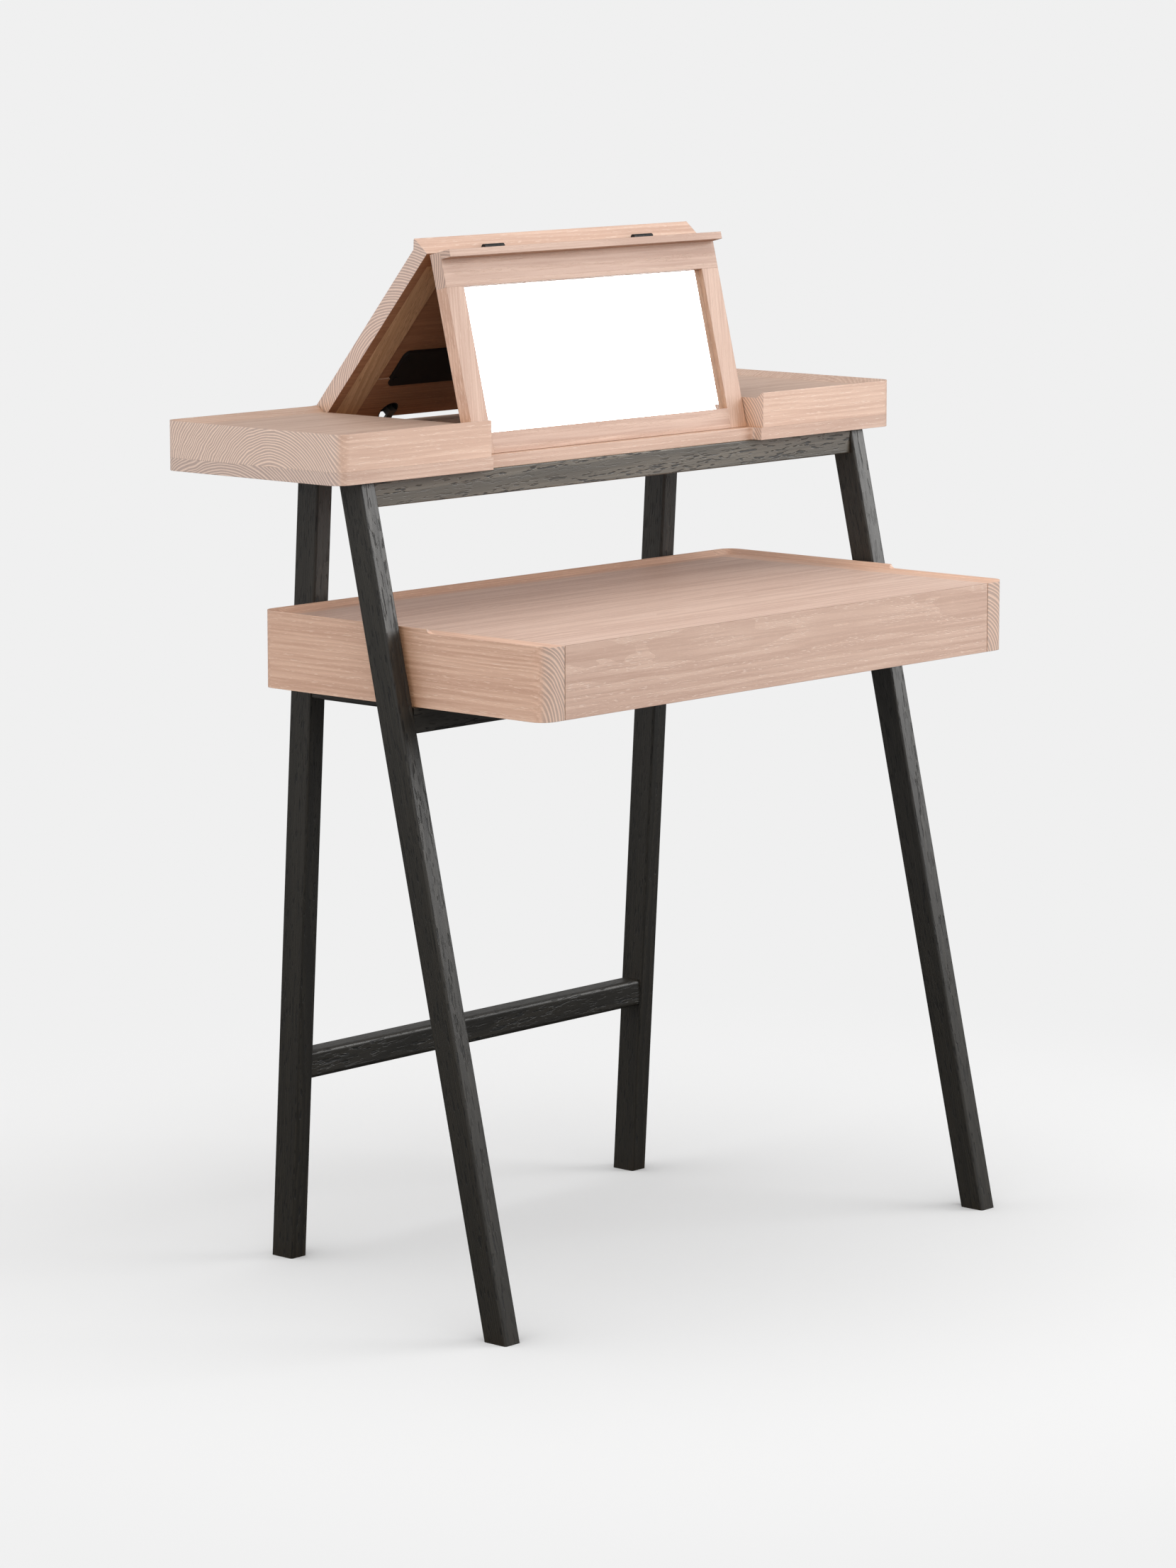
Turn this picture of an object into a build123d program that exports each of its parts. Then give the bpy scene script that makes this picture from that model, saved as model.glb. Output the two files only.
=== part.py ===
# Tray desk: an oak desk box with one wide drawer, carried by a black ash leg frame
# under a raised oak shelf with two trays, a hinged middle lid and a fold-out mirror.
# The model stands with the lid raised, the mirror put up and the drawer shut.
# Millimetres. +X is the right-hand side, +Y the back, +Z up, the floor is Z = 0.
from build123d import *
from math import cos, radians, sin
import os

os.makedirs("parts", exist_ok=True)

# Desk box
FRONT_Y = -251.15  # front face of the desk box
DESK_WIDTH = 785.0
DESK_DEPTH = 414.5
DESK_BOTTOM_Z = 665.0
DESKTOP_Z = 743.5  # writing surface
SIDE_TOP_Z = 745.0  # low edge beside the writing surface
DESK_RIM_Z = 749.5  # raised rim at the back
DESK_CORNER_R = 17.0
RIM_STEP_Y = FRONT_Y + 167.0  # where the raised rim comes down
RIM_STEP_R = 6.0
SIDE_THICK = 33.0
REAR_THICK = 22.0
DESKTOP_THICK = 20.0
BOTTOM_THICK = 8.0
BOTTOM_REBATE = 6.0
MITRE_GAP = 0.7

# Raised shelf
SHELF_WIDTH = 928.6
SHELF_DEPTH = 263.9
SHELF_FRONT_Y = FRONT_Y + 224.7
SHELF_BOTTOM_Z = 902.0
SHELF_THICK = 54.0
SHELF_CORNER_R = 17.0
BOARD_THICK = 14.0
BLOCK_INNER_X = 228.0
TRAY_DEPTH = 6.6
NOTCH_WIDTH = 450.0
NOTCH_DEPTH = 13.0
NOTCH_R = 4.5
HINGE_RAIL_DEPTH = 38.0

# Rims are worked narrow on top and slope down to the tray floor
RIM_TOP = 1.5
RIM_FOOT = 10.0
RIM_TOP_R = DESK_CORNER_R - RIM_TOP
RIM_FOOT_R = DESK_CORNER_R - RIM_FOOT

# Leg frame
LEG_WIDTH = 24.0
LEG_DEPTH = 32.0
LEG_EDGE_R = 3.0
FRONT_LEG_X = 398.5  # inner face
FRONT_LEG_FLOOR_Y = FRONT_Y + 28.0
FRONT_LEG_TOP_Y = FRONT_Y + 235.0
REAR_LEG_X = 278.5  # inner face
REAR_LEG_FLOOR_Y = FRONT_Y + 466.1
REAR_LEG_TOP_Y = FRONT_Y + 413.7
RAIL_THICK = 24.0
RAIL_HEIGHT = 28.0
REAR_RAIL_HEIGHT = 26.0
RAIL_EDGE_R = 1.5
SIDE_RAIL_THICK = 20.0
SIDE_RAIL_HEIGHT = 24.0
STRETCHER_Z = 204.8
STRETCHER_HEIGHT = 31.7
STRETCHER_THICK = 27.0
STRETCHER_EDGE_R = 5.0
TENON_LENGTH = 12.0
TENON_THICK = 10.0
SHOULDER = 5.0  # above and below each tenon
TENON_ROOM = 0.5
DOWEL_R = 3.5
DOWEL_LENGTH = 36.0
DOWEL_INSET = 17.0  # from a leg's inner face
DOWEL_MID_Z = SHELF_BOTTOM_Z - 6.0
SCREW_R = 2.25
SCREW_HEAD_R = 4.5
SHELF_SCREW_X = (-380.0, -262.0, 262.0, 380.0)
REAR_SCREW_X = (-250.0, 250.0)
DESK_SCREW_X = (-376.0, 376.0)
SIDE_SCREW_Y = (-10.0, 110.0)
SCREW_IN_SHELF = 30.0
SCREW_IN_SIDE = 26.0
SCREW_IN_BOTTOM = 6.5

# Drawer
DRAWER_FRONT_THICK = 20.0
DRAWER_REVEAL = 1.0
DRAWER_TOP_DROP = 0.2
DRAWER_SIDE_THICK = 12.0
DRAWER_SIDE_GAP = 13.0
DRAWER_SIDE_Z = 681.0
DRAWER_SIDE_HEIGHT = 38.0
DRAWER_BOX_DEPTH = 340.0
DRAWER_BOTTOM_Z = 684.0
DRAWER_BOTTOM_THICK = 6.0
BOTTOM_GROOVE = 5.0
RUNNER_GROOVE = 6.0
RUNNER_Z = 696.0
RUNNER_HEIGHT = 10.0
RUNNER_PLAY = 0.2
RUNNER_FRONT_Y = FRONT_Y + 25.0
RUNNER_LENGTH = 365.0

# Lid, in its own frame: Y runs from the edge with the mirror back to the turning
# edge, Z from the underside up. It is raised 50 degrees about the flap hinge line.
LID_ANGLE = 50.0
LID_HALF_WIDTH = 226.5
LID_LENGTH = 252.8
LID_THICK = 24.5
PIVOT_Y = 262.0
PIVOT_Z = -3.6
BATTEN_X = 195.0
BATTEN_WIDTH = 36.0
BATTEN_DEEP = 8.0
BATTEN_START = 20.0
PANEL_HALF_WIDTH = 176.5
PANEL_END = 192.0
PANEL_DEEP = 2.0
PLATE_HALF_WIDTH = 157.0
PLATE_START = 151.5
PLATE_END = 202.5
PLATE_PROUD = 1.5
PLATE_CORNER_R = 8.0
PLATE_SCREW_X = 149.7
PLATE_SCREW_Y = (161.4, 191.7)
PLATE_SCREW_R = 1.5
PLATE_SCREW_HEAD_R = 3.0
PLATE_SCREW_HEAD = 0.7
PLATE_SCREW_LENGTH = 11.0

# Flap hinges: cup in the lid, arm with knuckle, bracket in the hinge rail
FLAP_X = 125.0
CUP_Y = 245.0
CUP_R = 13.5
CUP_DEEP = 9.0
CUP_WALL = 1.2
ARM_HALF_WIDTH = 5.0
ARM_BACK_Y = 239.0
ARM_FOOT = 8.0
ARM_THICK = 2.6
KNUCKLE_R = 3.2
KNUCKLE_HALF = 6.4
FLAP_PIN_R = 1.5
PIN_PLAY = 0.06
BRACKET_HALF = 8.3
BRACKET_WALL = 1.5
BRACKET_Z = 920.0
BRACKET_FLOOR = 1.2
BRACKET_DEPTH = 29.0
CHEEK_DEPTH = 11.0
CHEEK_OUT = 1.6
SLOT_HALF = 10.0
SLOT_DEPTH = 30.6

# Mirror, in its own frame: Y runs from the knuckle edge down to the foot, Z = 0 is
# the back. It hangs from the lid on two butt hinges and leans 14 degrees back.
FOLD_ANGLE = 53.95
APEX_Y = -5.0  # knuckle line before the edge, of the lid as of the mirror
MIRROR_THICK = 15.5
TOP_RAIL = 39.0
STILE = 28.0
GLASS_OPENING_END = 200.7
GLASS_SET_BACK = 6.0
GLASS_THICK = 4.0
BACK_THICK = 2.5
REBATE = 7.0
LEDGE_HEIGHT = 8.2
LEDGE_DEPTH = 14.0
FOOT_PLAY = 0.3
BUTT_X = 124.0
BUTT_LENGTH = 32.0
BUTT_SEGMENTS = 5
BUTT_BARREL_R = 3.0
BUTT_PIN_R = 1.2
BUTT_LEAF_THICK = 1.2
BUTT_LEAF_LENGTH = 20.0
BUTT_GAP = 0.3

HALF_DESK = DESK_WIDTH / 2
HALF_SHELF = SHELF_WIDTH / 2
BOX_INNER_X = HALF_DESK - SIDE_THICK
DESK_REAR_Y = FRONT_Y + DESK_DEPTH
REAR_BOARD_Y = DESK_REAR_Y - REAR_THICK
SHELF_REAR_Y = SHELF_FRONT_Y + SHELF_DEPTH
SHELF_TOP_Z = SHELF_BOTTOM_Z + SHELF_THICK
BOARD_TOP_Z = SHELF_BOTTOM_Z + BOARD_THICK
SIDES = (("left", -1), ("right", 1))


def write(piece, name, plane=Plane.XY):
    """Put a finished piece in its place, label it and write its STEP file."""
    placed = plane.location * piece.part
    placed.label = name
    export_step(placed, f"parts/{name}.step")


def block(x, y, z, mode=Mode.ADD):
    """A box given by its two limits along each axis."""
    with Locations(((x[0] + x[1]) / 2, (y[0] + y[1]) / 2, (z[0] + z[1]) / 2)):
        Box(x[1] - x[0], y[1] - y[0], z[1] - z[0], mode=mode)


def rod(x, y, z, radius, mode=Mode.ADD):
    """A round bar along X between two X limits."""
    with Locations(Location(((x[0] + x[1]) / 2, y, z), (0, 90, 0))):
        Cylinder(radius, x[1] - x[0], mode=mode)


def upright(x, y, z, radius, mode=Mode.ADD):
    """A round bar along Z between two Z limits."""
    with Locations((x, y, (z[0] + z[1]) / 2)):
        Cylinder(radius, z[1] - z[0], mode=mode)


def mirrored(limits, side):
    """X limits given for the right side, for either side."""
    return limits if side > 0 else (-limits[1], -limits[0])


# Leg frame, black ash
def leg_y(floor_y, top_y, z):
    """Front face of a leaning leg at height z."""
    return floor_y + (top_y - floor_y) * z / SHELF_BOTTOM_Z


TOP_RAIL_Y = FRONT_LEG_TOP_Y + 0.6 + RAIL_THICK / 2
TOP_RAIL_Z = SHELF_BOTTOM_Z - RAIL_HEIGHT
BACK_RAIL_Y = REAR_LEG_TOP_Y + LEG_DEPTH / 2
BACK_RAIL_Z = SHELF_BOTTOM_Z - REAR_RAIL_HEIGHT
DESK_RAIL_Y = leg_y(FRONT_LEG_FLOOR_Y, FRONT_LEG_TOP_Y, DESK_BOTTOM_Z) - 1.0 + RAIL_THICK / 2
DESK_RAIL_Z = DESK_BOTTOM_Z - RAIL_HEIGHT
STRETCHER_Y = leg_y(REAR_LEG_FLOOR_Y, REAR_LEG_TOP_Y, STRETCHER_Z) + 1.5 + STRETCHER_THICK / 2
SIDE_RAIL_X = REAR_LEG_X + LEG_WIDTH / 2
SIDE_RAIL_Z = DESK_BOTTOM_Z - SIDE_RAIL_HEIGHT
SIDE_RAIL_FRONT_Y = DESK_RAIL_Y + RAIL_THICK / 2
SIDE_TENON = (SIDE_RAIL_Z + SHOULDER, DESK_BOTTOM_Z - SHOULDER)
SIDE_TENON_X = (SIDE_RAIL_X - TENON_THICK / 2, SIDE_RAIL_X + TENON_THICK / 2)
SIDE_TENON_REAR_Y = leg_y(REAR_LEG_FLOOR_Y, REAR_LEG_TOP_Y, SIDE_RAIL_Z) + TENON_LENGTH
DOWEL_SPAN = (DOWEL_MID_Z - DOWEL_LENGTH / 2, DOWEL_MID_Z + DOWEL_LENGTH / 2)
DOWEL_PLACES = [
    (side * (x + DOWEL_INSET), y + LEG_DEPTH / 2)
    for side in (-1, 1)
    for x, y in ((FRONT_LEG_X, FRONT_LEG_TOP_Y), (REAR_LEG_X, REAR_LEG_TOP_Y))
]


def make_leg(side, inner_x, floor_y, top_y, rails):
    """A leaning leg, cut level at both ends, with mortises for rails given by (y, z, height)."""
    x = mirrored((inner_x, inner_x + LEG_WIDTH), side)
    with BuildPart() as leg:
        with BuildSketch(Plane.YZ.offset(x[0])):
            with BuildLine():
                Polyline(
                    (floor_y, 0),
                    (top_y, SHELF_BOTTOM_Z),
                    (top_y + LEG_DEPTH, SHELF_BOTTOM_Z),
                    (floor_y + LEG_DEPTH, 0),
                    close=True,
                )
            make_face()
        extrude(amount=LEG_WIDTH)
        fillet(leg.edges().filter_by(lambda e: e.length > SHELF_BOTTOM_Z / 2), LEG_EDGE_R)
        for y, z, height in rails:
            block(
                mirrored((inner_x, inner_x + TENON_LENGTH + TENON_ROOM), side),
                (y - TENON_THICK / 2, y + TENON_THICK / 2),
                (z + SHOULDER, z + height - SHOULDER),
                mode=Mode.SUBTRACT,
            )
        dowel_x = side * (inner_x + DOWEL_INSET)
        upright(dowel_x, top_y + LEG_DEPTH / 2, DOWEL_SPAN, DOWEL_R, mode=Mode.SUBTRACT)
    return leg


for word, side in SIDES:
    front_rails = [(TOP_RAIL_Y, TOP_RAIL_Z, RAIL_HEIGHT), (DESK_RAIL_Y, DESK_RAIL_Z, RAIL_HEIGHT)]
    front_leg = make_leg(side, FRONT_LEG_X, FRONT_LEG_FLOOR_Y, FRONT_LEG_TOP_Y, front_rails)
    write(front_leg, f"front_leg_{word}")
    rear_rails = [
        (BACK_RAIL_Y, BACK_RAIL_Z, REAR_RAIL_HEIGHT),
        (STRETCHER_Y, STRETCHER_Z, STRETCHER_HEIGHT),
    ]
    plain_leg = make_leg(side, REAR_LEG_X, REAR_LEG_FLOOR_Y, REAR_LEG_TOP_Y, rear_rails)
    with BuildPart() as rear_leg:
        add(plain_leg.part)
        block(
            mirrored(SIDE_TENON_X, side),
            (SIDE_TENON_REAR_Y - TENON_LENGTH - 5, SIDE_TENON_REAR_Y + TENON_ROOM),
            SIDE_TENON,
            mode=Mode.SUBTRACT,
        )
    write(rear_leg, f"rear_leg_{word}")

# Dowels that fix the legs in the shelf board
with BuildPart() as leg_dowels:
    for x, y in DOWEL_PLACES:
        upright(x, y, DOWEL_SPAN, DOWEL_R)
write(leg_dowels, "leg_dowels")


def make_cross_rail(half_length, mid_y, bottom_z, thick, height, edge_r, screw_x=()):
    """A rail along X with a tenon at each end and screw holes bored up through it."""
    y = (mid_y - thick / 2, mid_y + thick / 2)
    z = (bottom_z, bottom_z + height)
    with BuildPart() as rail:
        block((-half_length, half_length), y, z)
        fillet(rail.edges().filter_by(Axis.X), edge_r)
        block(
            (-half_length - TENON_LENGTH, half_length + TENON_LENGTH),
            (mid_y - TENON_THICK / 2, mid_y + TENON_THICK / 2),
            (z[0] + SHOULDER, z[1] - SHOULDER),
        )
        for x in screw_x:
            with Locations(Plane(origin=(x, mid_y, bottom_z), z_dir=(0, 0, -1))):
                CounterSinkHole(SCREW_R, SCREW_HEAD_R, depth=height, counter_sink_angle=90)
    return rail


shelf_rail = make_cross_rail(
    FRONT_LEG_X, TOP_RAIL_Y, TOP_RAIL_Z, RAIL_THICK, RAIL_HEIGHT, RAIL_EDGE_R, SHELF_SCREW_X
)
write(shelf_rail, "shelf_rail_front")

back_rail = make_cross_rail(
    REAR_LEG_X, BACK_RAIL_Y, BACK_RAIL_Z, RAIL_THICK, REAR_RAIL_HEIGHT, RAIL_EDGE_R, REAR_SCREW_X
)
write(back_rail, "shelf_rail_rear")

desk_rail = make_cross_rail(
    FRONT_LEG_X, DESK_RAIL_Y, DESK_RAIL_Z, RAIL_THICK, RAIL_HEIGHT, RAIL_EDGE_R, DESK_SCREW_X
)
with BuildPart() as desk_rail_front:
    add(desk_rail.part)
    for side in (-1, 1):
        block(
            mirrored(SIDE_TENON_X, side),
            (SIDE_RAIL_FRONT_Y - TENON_LENGTH - TENON_ROOM, SIDE_RAIL_FRONT_Y),
            SIDE_TENON,
            mode=Mode.SUBTRACT,
        )
write(desk_rail_front, "desk_rail_front")

low_stretcher = make_cross_rail(
    REAR_LEG_X, STRETCHER_Y, STRETCHER_Z, STRETCHER_THICK, STRETCHER_HEIGHT, STRETCHER_EDGE_R
)
write(low_stretcher, "low_stretcher")


def make_side_rail(side):
    """A rail along Y, from the front rail to the rear leg, that the desk box stands on."""
    with BuildPart() as rail:
        with BuildSketch(Plane.YZ.offset(side * SIDE_RAIL_X - SIDE_RAIL_THICK / 2)):
            with BuildLine():
                Polyline(
                    (SIDE_RAIL_FRONT_Y, SIDE_RAIL_Z),
                    (SIDE_RAIL_FRONT_Y, DESK_BOTTOM_Z),
                    (leg_y(REAR_LEG_FLOOR_Y, REAR_LEG_TOP_Y, DESK_BOTTOM_Z), DESK_BOTTOM_Z),
                    (leg_y(REAR_LEG_FLOOR_Y, REAR_LEG_TOP_Y, SIDE_RAIL_Z), SIDE_RAIL_Z),
                    close=True,
                )
            make_face()
        extrude(amount=SIDE_RAIL_THICK)
        fillet(rail.edges().filter_by(Axis.Y), RAIL_EDGE_R)
        tenon_y = (SIDE_RAIL_FRONT_Y - TENON_LENGTH, SIDE_TENON_REAR_Y)
        block(mirrored(SIDE_TENON_X, side), tenon_y, SIDE_TENON)
        for y in SIDE_SCREW_Y:
            with Locations(Plane(origin=(side * SIDE_RAIL_X, y, SIDE_RAIL_Z), z_dir=(0, 0, -1))):
                CounterSinkHole(SCREW_R, SCREW_HEAD_R, depth=SIDE_RAIL_HEIGHT, counter_sink_angle=90)
    return rail


for word, side in SIDES:
    write(make_side_rail(side), f"desk_rail_{word}")


# Screws
def wood_screw(x, y, z, length):
    """A countersunk screw standing in a rail, its head level with the underside."""
    head = SCREW_HEAD_R - SCREW_R
    with Locations((x, y, z + head / 2)):
        Cone(SCREW_HEAD_R, SCREW_R, head)
    upright(x, y, (z + head, z + length), SCREW_R)


with BuildPart() as shelf_screws:
    for x in SHELF_SCREW_X:
        wood_screw(x, TOP_RAIL_Y, TOP_RAIL_Z, RAIL_HEIGHT + SCREW_IN_SHELF)
    for x in REAR_SCREW_X:
        wood_screw(x, BACK_RAIL_Y, BACK_RAIL_Z, REAR_RAIL_HEIGHT + SCREW_IN_SHELF)
write(shelf_screws, "shelf_screws")

with BuildPart() as desk_screws:
    for x in DESK_SCREW_X:
        wood_screw(x, DESK_RAIL_Y, DESK_RAIL_Z, RAIL_HEIGHT + SCREW_IN_SIDE)
    for side in (-1, 1):
        for y in SIDE_SCREW_Y:
            wood_screw(side * SIDE_RAIL_X, y, SIDE_RAIL_Z, SIDE_RAIL_HEIGHT + SCREW_IN_BOTTOM)
write(desk_screws, "desk_screws")


# Trays
def plan(half_x, y, radius):
    """Outline in plan with rounded corners."""
    with Locations((0, (y[0] + y[1]) / 2)):
        RectangleRounded(2 * half_x, y[1] - y[0], radius)


def tray_hollow(half_x, front_y, rear_y, floor_z, rim_z):
    """The hollow of a tray whose rims slope from a narrow top down to a flat floor."""
    floor_plan = (half_x - RIM_FOOT, (front_y + RIM_FOOT, rear_y - RIM_FOOT), RIM_FOOT_R)
    rim_plan = (half_x - RIM_TOP, (front_y + RIM_TOP, rear_y - RIM_TOP), RIM_TOP_R)
    with BuildPart() as hollow:
        with BuildSketch(Plane.XY.offset(floor_z)):
            plan(*floor_plan)
        with BuildSketch(Plane.XY.offset(rim_z)):
            plan(*rim_plan)
        loft(ruled=True)
        with BuildSketch(Plane.XY.offset(rim_z)):
            plan(*rim_plan)
        extrude(amount=RIM_TOP)
    return hollow


# Desk box, oak
desk_hollow = tray_hollow(HALF_DESK, FRONT_Y - 60.0, DESK_REAR_Y, DESKTOP_Z, DESK_RIM_Z)
BOTTOM_FRONT_Y = FRONT_Y + DRAWER_FRONT_THICK + DRAWER_REVEAL


def make_side_board(side):
    """A side of the desk box, its rim high at the back and low beside the writing surface."""
    mid_x = side * (HALF_DESK - SIDE_THICK / 2)
    mid_y = (FRONT_Y + DESK_REAR_Y) / 2
    cut_x = (mid_x - SIDE_THICK, mid_x + SIDE_THICK)
    step_y = RIM_STEP_Y - RIM_STEP_R
    with BuildPart() as board:
        with BuildSketch(Plane.XY.offset(DESK_BOTTOM_Z)):
            plan(HALF_DESK, (FRONT_Y, DESK_REAR_Y), DESK_CORNER_R)
            with Locations((mid_x, mid_y)):
                Rectangle(SIDE_THICK, DESK_DEPTH, mode=Mode.INTERSECT)
        extrude(amount=DESK_RIM_Z - DESK_BOTTOM_Z)
        add(desk_hollow.part, mode=Mode.SUBTRACT)
        block(cut_x, (FRONT_Y - 5, step_y), (SIDE_TOP_Z, DESK_RIM_Z + 5), mode=Mode.SUBTRACT)
        rod(cut_x, step_y, SIDE_TOP_Z + RIM_STEP_R, RIM_STEP_R, mode=Mode.SUBTRACT)
        block(
            mirrored((BOX_INNER_X - 5, BOX_INNER_X + BOTTOM_REBATE), side),
            (BOTTOM_FRONT_Y, REAR_BOARD_Y),
            (DESK_BOTTOM_Z - 5, DESK_BOTTOM_Z + BOTTOM_THICK),
            mode=Mode.SUBTRACT,
        )
        screw_z = (DESK_BOTTOM_Z - 5, DESK_BOTTOM_Z + SCREW_IN_SIDE)
        upright(side * DESK_SCREW_X[1], DESK_RAIL_Y, screw_z, SCREW_R, mode=Mode.SUBTRACT)
    return board


for word, side in SIDES:
    write(make_side_board(side), f"desk_side_{word}")

with BuildPart() as desk_rear:
    block((-BOX_INNER_X, BOX_INNER_X), (REAR_BOARD_Y, DESK_REAR_Y), (DESK_BOTTOM_Z, DESK_RIM_Z))
    add(desk_hollow.part, mode=Mode.SUBTRACT)
write(desk_rear, "desk_rear")

# The writing surface ends in a mitre that the drawer front closes against
with BuildPart() as desktop:
    with BuildSketch(Plane.YZ.offset(-BOX_INNER_X)):
        with BuildLine():
            Polyline(
                (FRONT_Y + MITRE_GAP, DESKTOP_Z),
                (REAR_BOARD_Y, DESKTOP_Z),
                (REAR_BOARD_Y, DESKTOP_Z - DESKTOP_THICK),
                (FRONT_Y + MITRE_GAP + DESKTOP_THICK, DESKTOP_Z - DESKTOP_THICK),
                close=True,
            )
        make_face()
    extrude(amount=2 * BOX_INNER_X)
write(desktop, "desktop")

with BuildPart() as desk_bottom:
    block(
        (-BOX_INNER_X - BOTTOM_REBATE, BOX_INNER_X + BOTTOM_REBATE),
        (BOTTOM_FRONT_Y, REAR_BOARD_Y),
        (DESK_BOTTOM_Z, DESK_BOTTOM_Z + BOTTOM_THICK),
    )
    for side in (-1, 1):
        for y in SIDE_SCREW_Y:
            screw_z = (DESK_BOTTOM_Z - 5, DESK_BOTTOM_Z + SCREW_IN_BOTTOM)
            upright(side * SIDE_RAIL_X, y, screw_z, SCREW_R, mode=Mode.SUBTRACT)
write(desk_bottom, "desk_bottom")

# Runners that the drawer slides on
RUNNER_INNER_X = BOX_INNER_X - DRAWER_SIDE_GAP - RUNNER_GROOVE + 0.5
for word, side in SIDES:
    with BuildPart() as runner:
        block(
            mirrored((RUNNER_INNER_X, BOX_INNER_X), side),
            (RUNNER_FRONT_Y, RUNNER_FRONT_Y + RUNNER_LENGTH),
            (RUNNER_Z + RUNNER_PLAY, RUNNER_Z + RUNNER_HEIGHT - RUNNER_PLAY),
        )
    write(runner, f"runner_{word}")

# Drawer, oak
DRAWER_FRONT_X = BOX_INNER_X - DRAWER_REVEAL
DRAWER_FRONT_TOP = DESKTOP_Z - DRAWER_TOP_DROP
DRAWER_START_Y = FRONT_Y + DRAWER_FRONT_THICK
with BuildPart() as drawer_front:
    with BuildSketch(Plane.YZ.offset(-DRAWER_FRONT_X)):
        with BuildLine():
            Polyline(
                (FRONT_Y, DESK_BOTTOM_Z),
                (FRONT_Y, DRAWER_FRONT_TOP),
                (DRAWER_START_Y, DRAWER_FRONT_TOP - DRAWER_FRONT_THICK),
                (DRAWER_START_Y, DESK_BOTTOM_Z),
                close=True,
            )
        make_face()
    extrude(amount=2 * DRAWER_FRONT_X)
write(drawer_front, "drawer_front")

DRAWER_OUTER_X = BOX_INNER_X - DRAWER_SIDE_GAP
DRAWER_INNER_X = DRAWER_OUTER_X - DRAWER_SIDE_THICK
DRAWER_END_Y = DRAWER_START_Y + DRAWER_BOX_DEPTH
DRAWER_TOP_Z = DRAWER_SIDE_Z + DRAWER_SIDE_HEIGHT
DRAWER_FLOOR_Z = DRAWER_BOTTOM_Z + DRAWER_BOTTOM_THICK
DRAWER_Y = (DRAWER_START_Y, DRAWER_END_Y)
BOTTOM_Z = (DRAWER_BOTTOM_Z, DRAWER_FLOOR_Z)

for word, side in SIDES:
    outer_groove = mirrored((DRAWER_OUTER_X - RUNNER_GROOVE, DRAWER_OUTER_X), side)
    inner_groove = mirrored((DRAWER_INNER_X, DRAWER_INNER_X + BOTTOM_GROOVE), side)
    with BuildPart() as drawer_side:
        block(
            mirrored((DRAWER_INNER_X, DRAWER_OUTER_X), side), DRAWER_Y, (DRAWER_SIDE_Z, DRAWER_TOP_Z)
        )
        block(outer_groove, DRAWER_Y, (RUNNER_Z, RUNNER_Z + RUNNER_HEIGHT), mode=Mode.SUBTRACT)
        block(inner_groove, DRAWER_Y, BOTTOM_Z, mode=Mode.SUBTRACT)
    write(drawer_side, f"drawer_side_{word}")

with BuildPart() as drawer_back:
    block(
        (-DRAWER_INNER_X, DRAWER_INNER_X),
        (DRAWER_END_Y - DRAWER_SIDE_THICK, DRAWER_END_Y),
        (DRAWER_FLOOR_Z, DRAWER_TOP_Z),
    )
write(drawer_back, "drawer_back")

with BuildPart() as drawer_bottom:
    half_width = DRAWER_INNER_X + BOTTOM_GROOVE
    block((-half_width, half_width), DRAWER_Y, BOTTOM_Z)
write(drawer_bottom, "drawer_bottom")

# Raised shelf, oak
with BuildPart() as shelf_board:
    with BuildSketch(Plane.XY.offset(SHELF_BOTTOM_Z)):
        plan(HALF_SHELF, (SHELF_FRONT_Y, SHELF_REAR_Y), SHELF_CORNER_R)
        with Locations((0, SHELF_FRONT_Y)):
            RectangleRounded(NOTCH_WIDTH, 2 * NOTCH_DEPTH, NOTCH_R, mode=Mode.SUBTRACT)
    extrude(amount=BOARD_THICK)
    for x, y in DOWEL_PLACES:
        upright(x, y, DOWEL_SPAN, DOWEL_R, mode=Mode.SUBTRACT)
    hole_z = (SHELF_BOTTOM_Z - 5, SHELF_TOP_Z)
    for x in SHELF_SCREW_X:
        upright(x, TOP_RAIL_Y, hole_z, SCREW_R, mode=Mode.SUBTRACT)
    for x in REAR_SCREW_X:
        upright(x, BACK_RAIL_Y, hole_z, SCREW_R, mode=Mode.SUBTRACT)
write(shelf_board, "shelf_board")

shelf_hollow = tray_hollow(
    HALF_SHELF, SHELF_FRONT_Y, SHELF_REAR_Y, SHELF_TOP_Z - TRAY_DEPTH, SHELF_TOP_Z
)


def make_tray_block(side):
    """A solid block beside the compartment, with a shallow tray worked into its top."""
    mid_x = side * (BLOCK_INNER_X + HALF_SHELF) / 2
    mid_y = (SHELF_FRONT_Y + SHELF_REAR_Y) / 2
    with BuildPart() as tray:
        with BuildSketch(Plane.XY.offset(BOARD_TOP_Z)):
            plan(HALF_SHELF, (SHELF_FRONT_Y, SHELF_REAR_Y), SHELF_CORNER_R)
            with Locations((mid_x, mid_y)):
                Rectangle(HALF_SHELF - BLOCK_INNER_X, SHELF_DEPTH, mode=Mode.INTERSECT)
        extrude(amount=SHELF_TOP_Z - BOARD_TOP_Z)
        add(shelf_hollow.part, mode=Mode.SUBTRACT)
        screw_z = (BOARD_TOP_Z - 5, SHELF_BOTTOM_Z + SCREW_IN_SHELF)
        for x in SHELF_SCREW_X:
            if x * side > 0:
                upright(x, TOP_RAIL_Y, screw_z, SCREW_R, mode=Mode.SUBTRACT)
        for x in REAR_SCREW_X:
            if x * side > 0:
                upright(x, BACK_RAIL_Y, screw_z, SCREW_R, mode=Mode.SUBTRACT)
    return tray


for word, side in SIDES:
    write(make_tray_block(side), f"tray_block_{word}")

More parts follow.
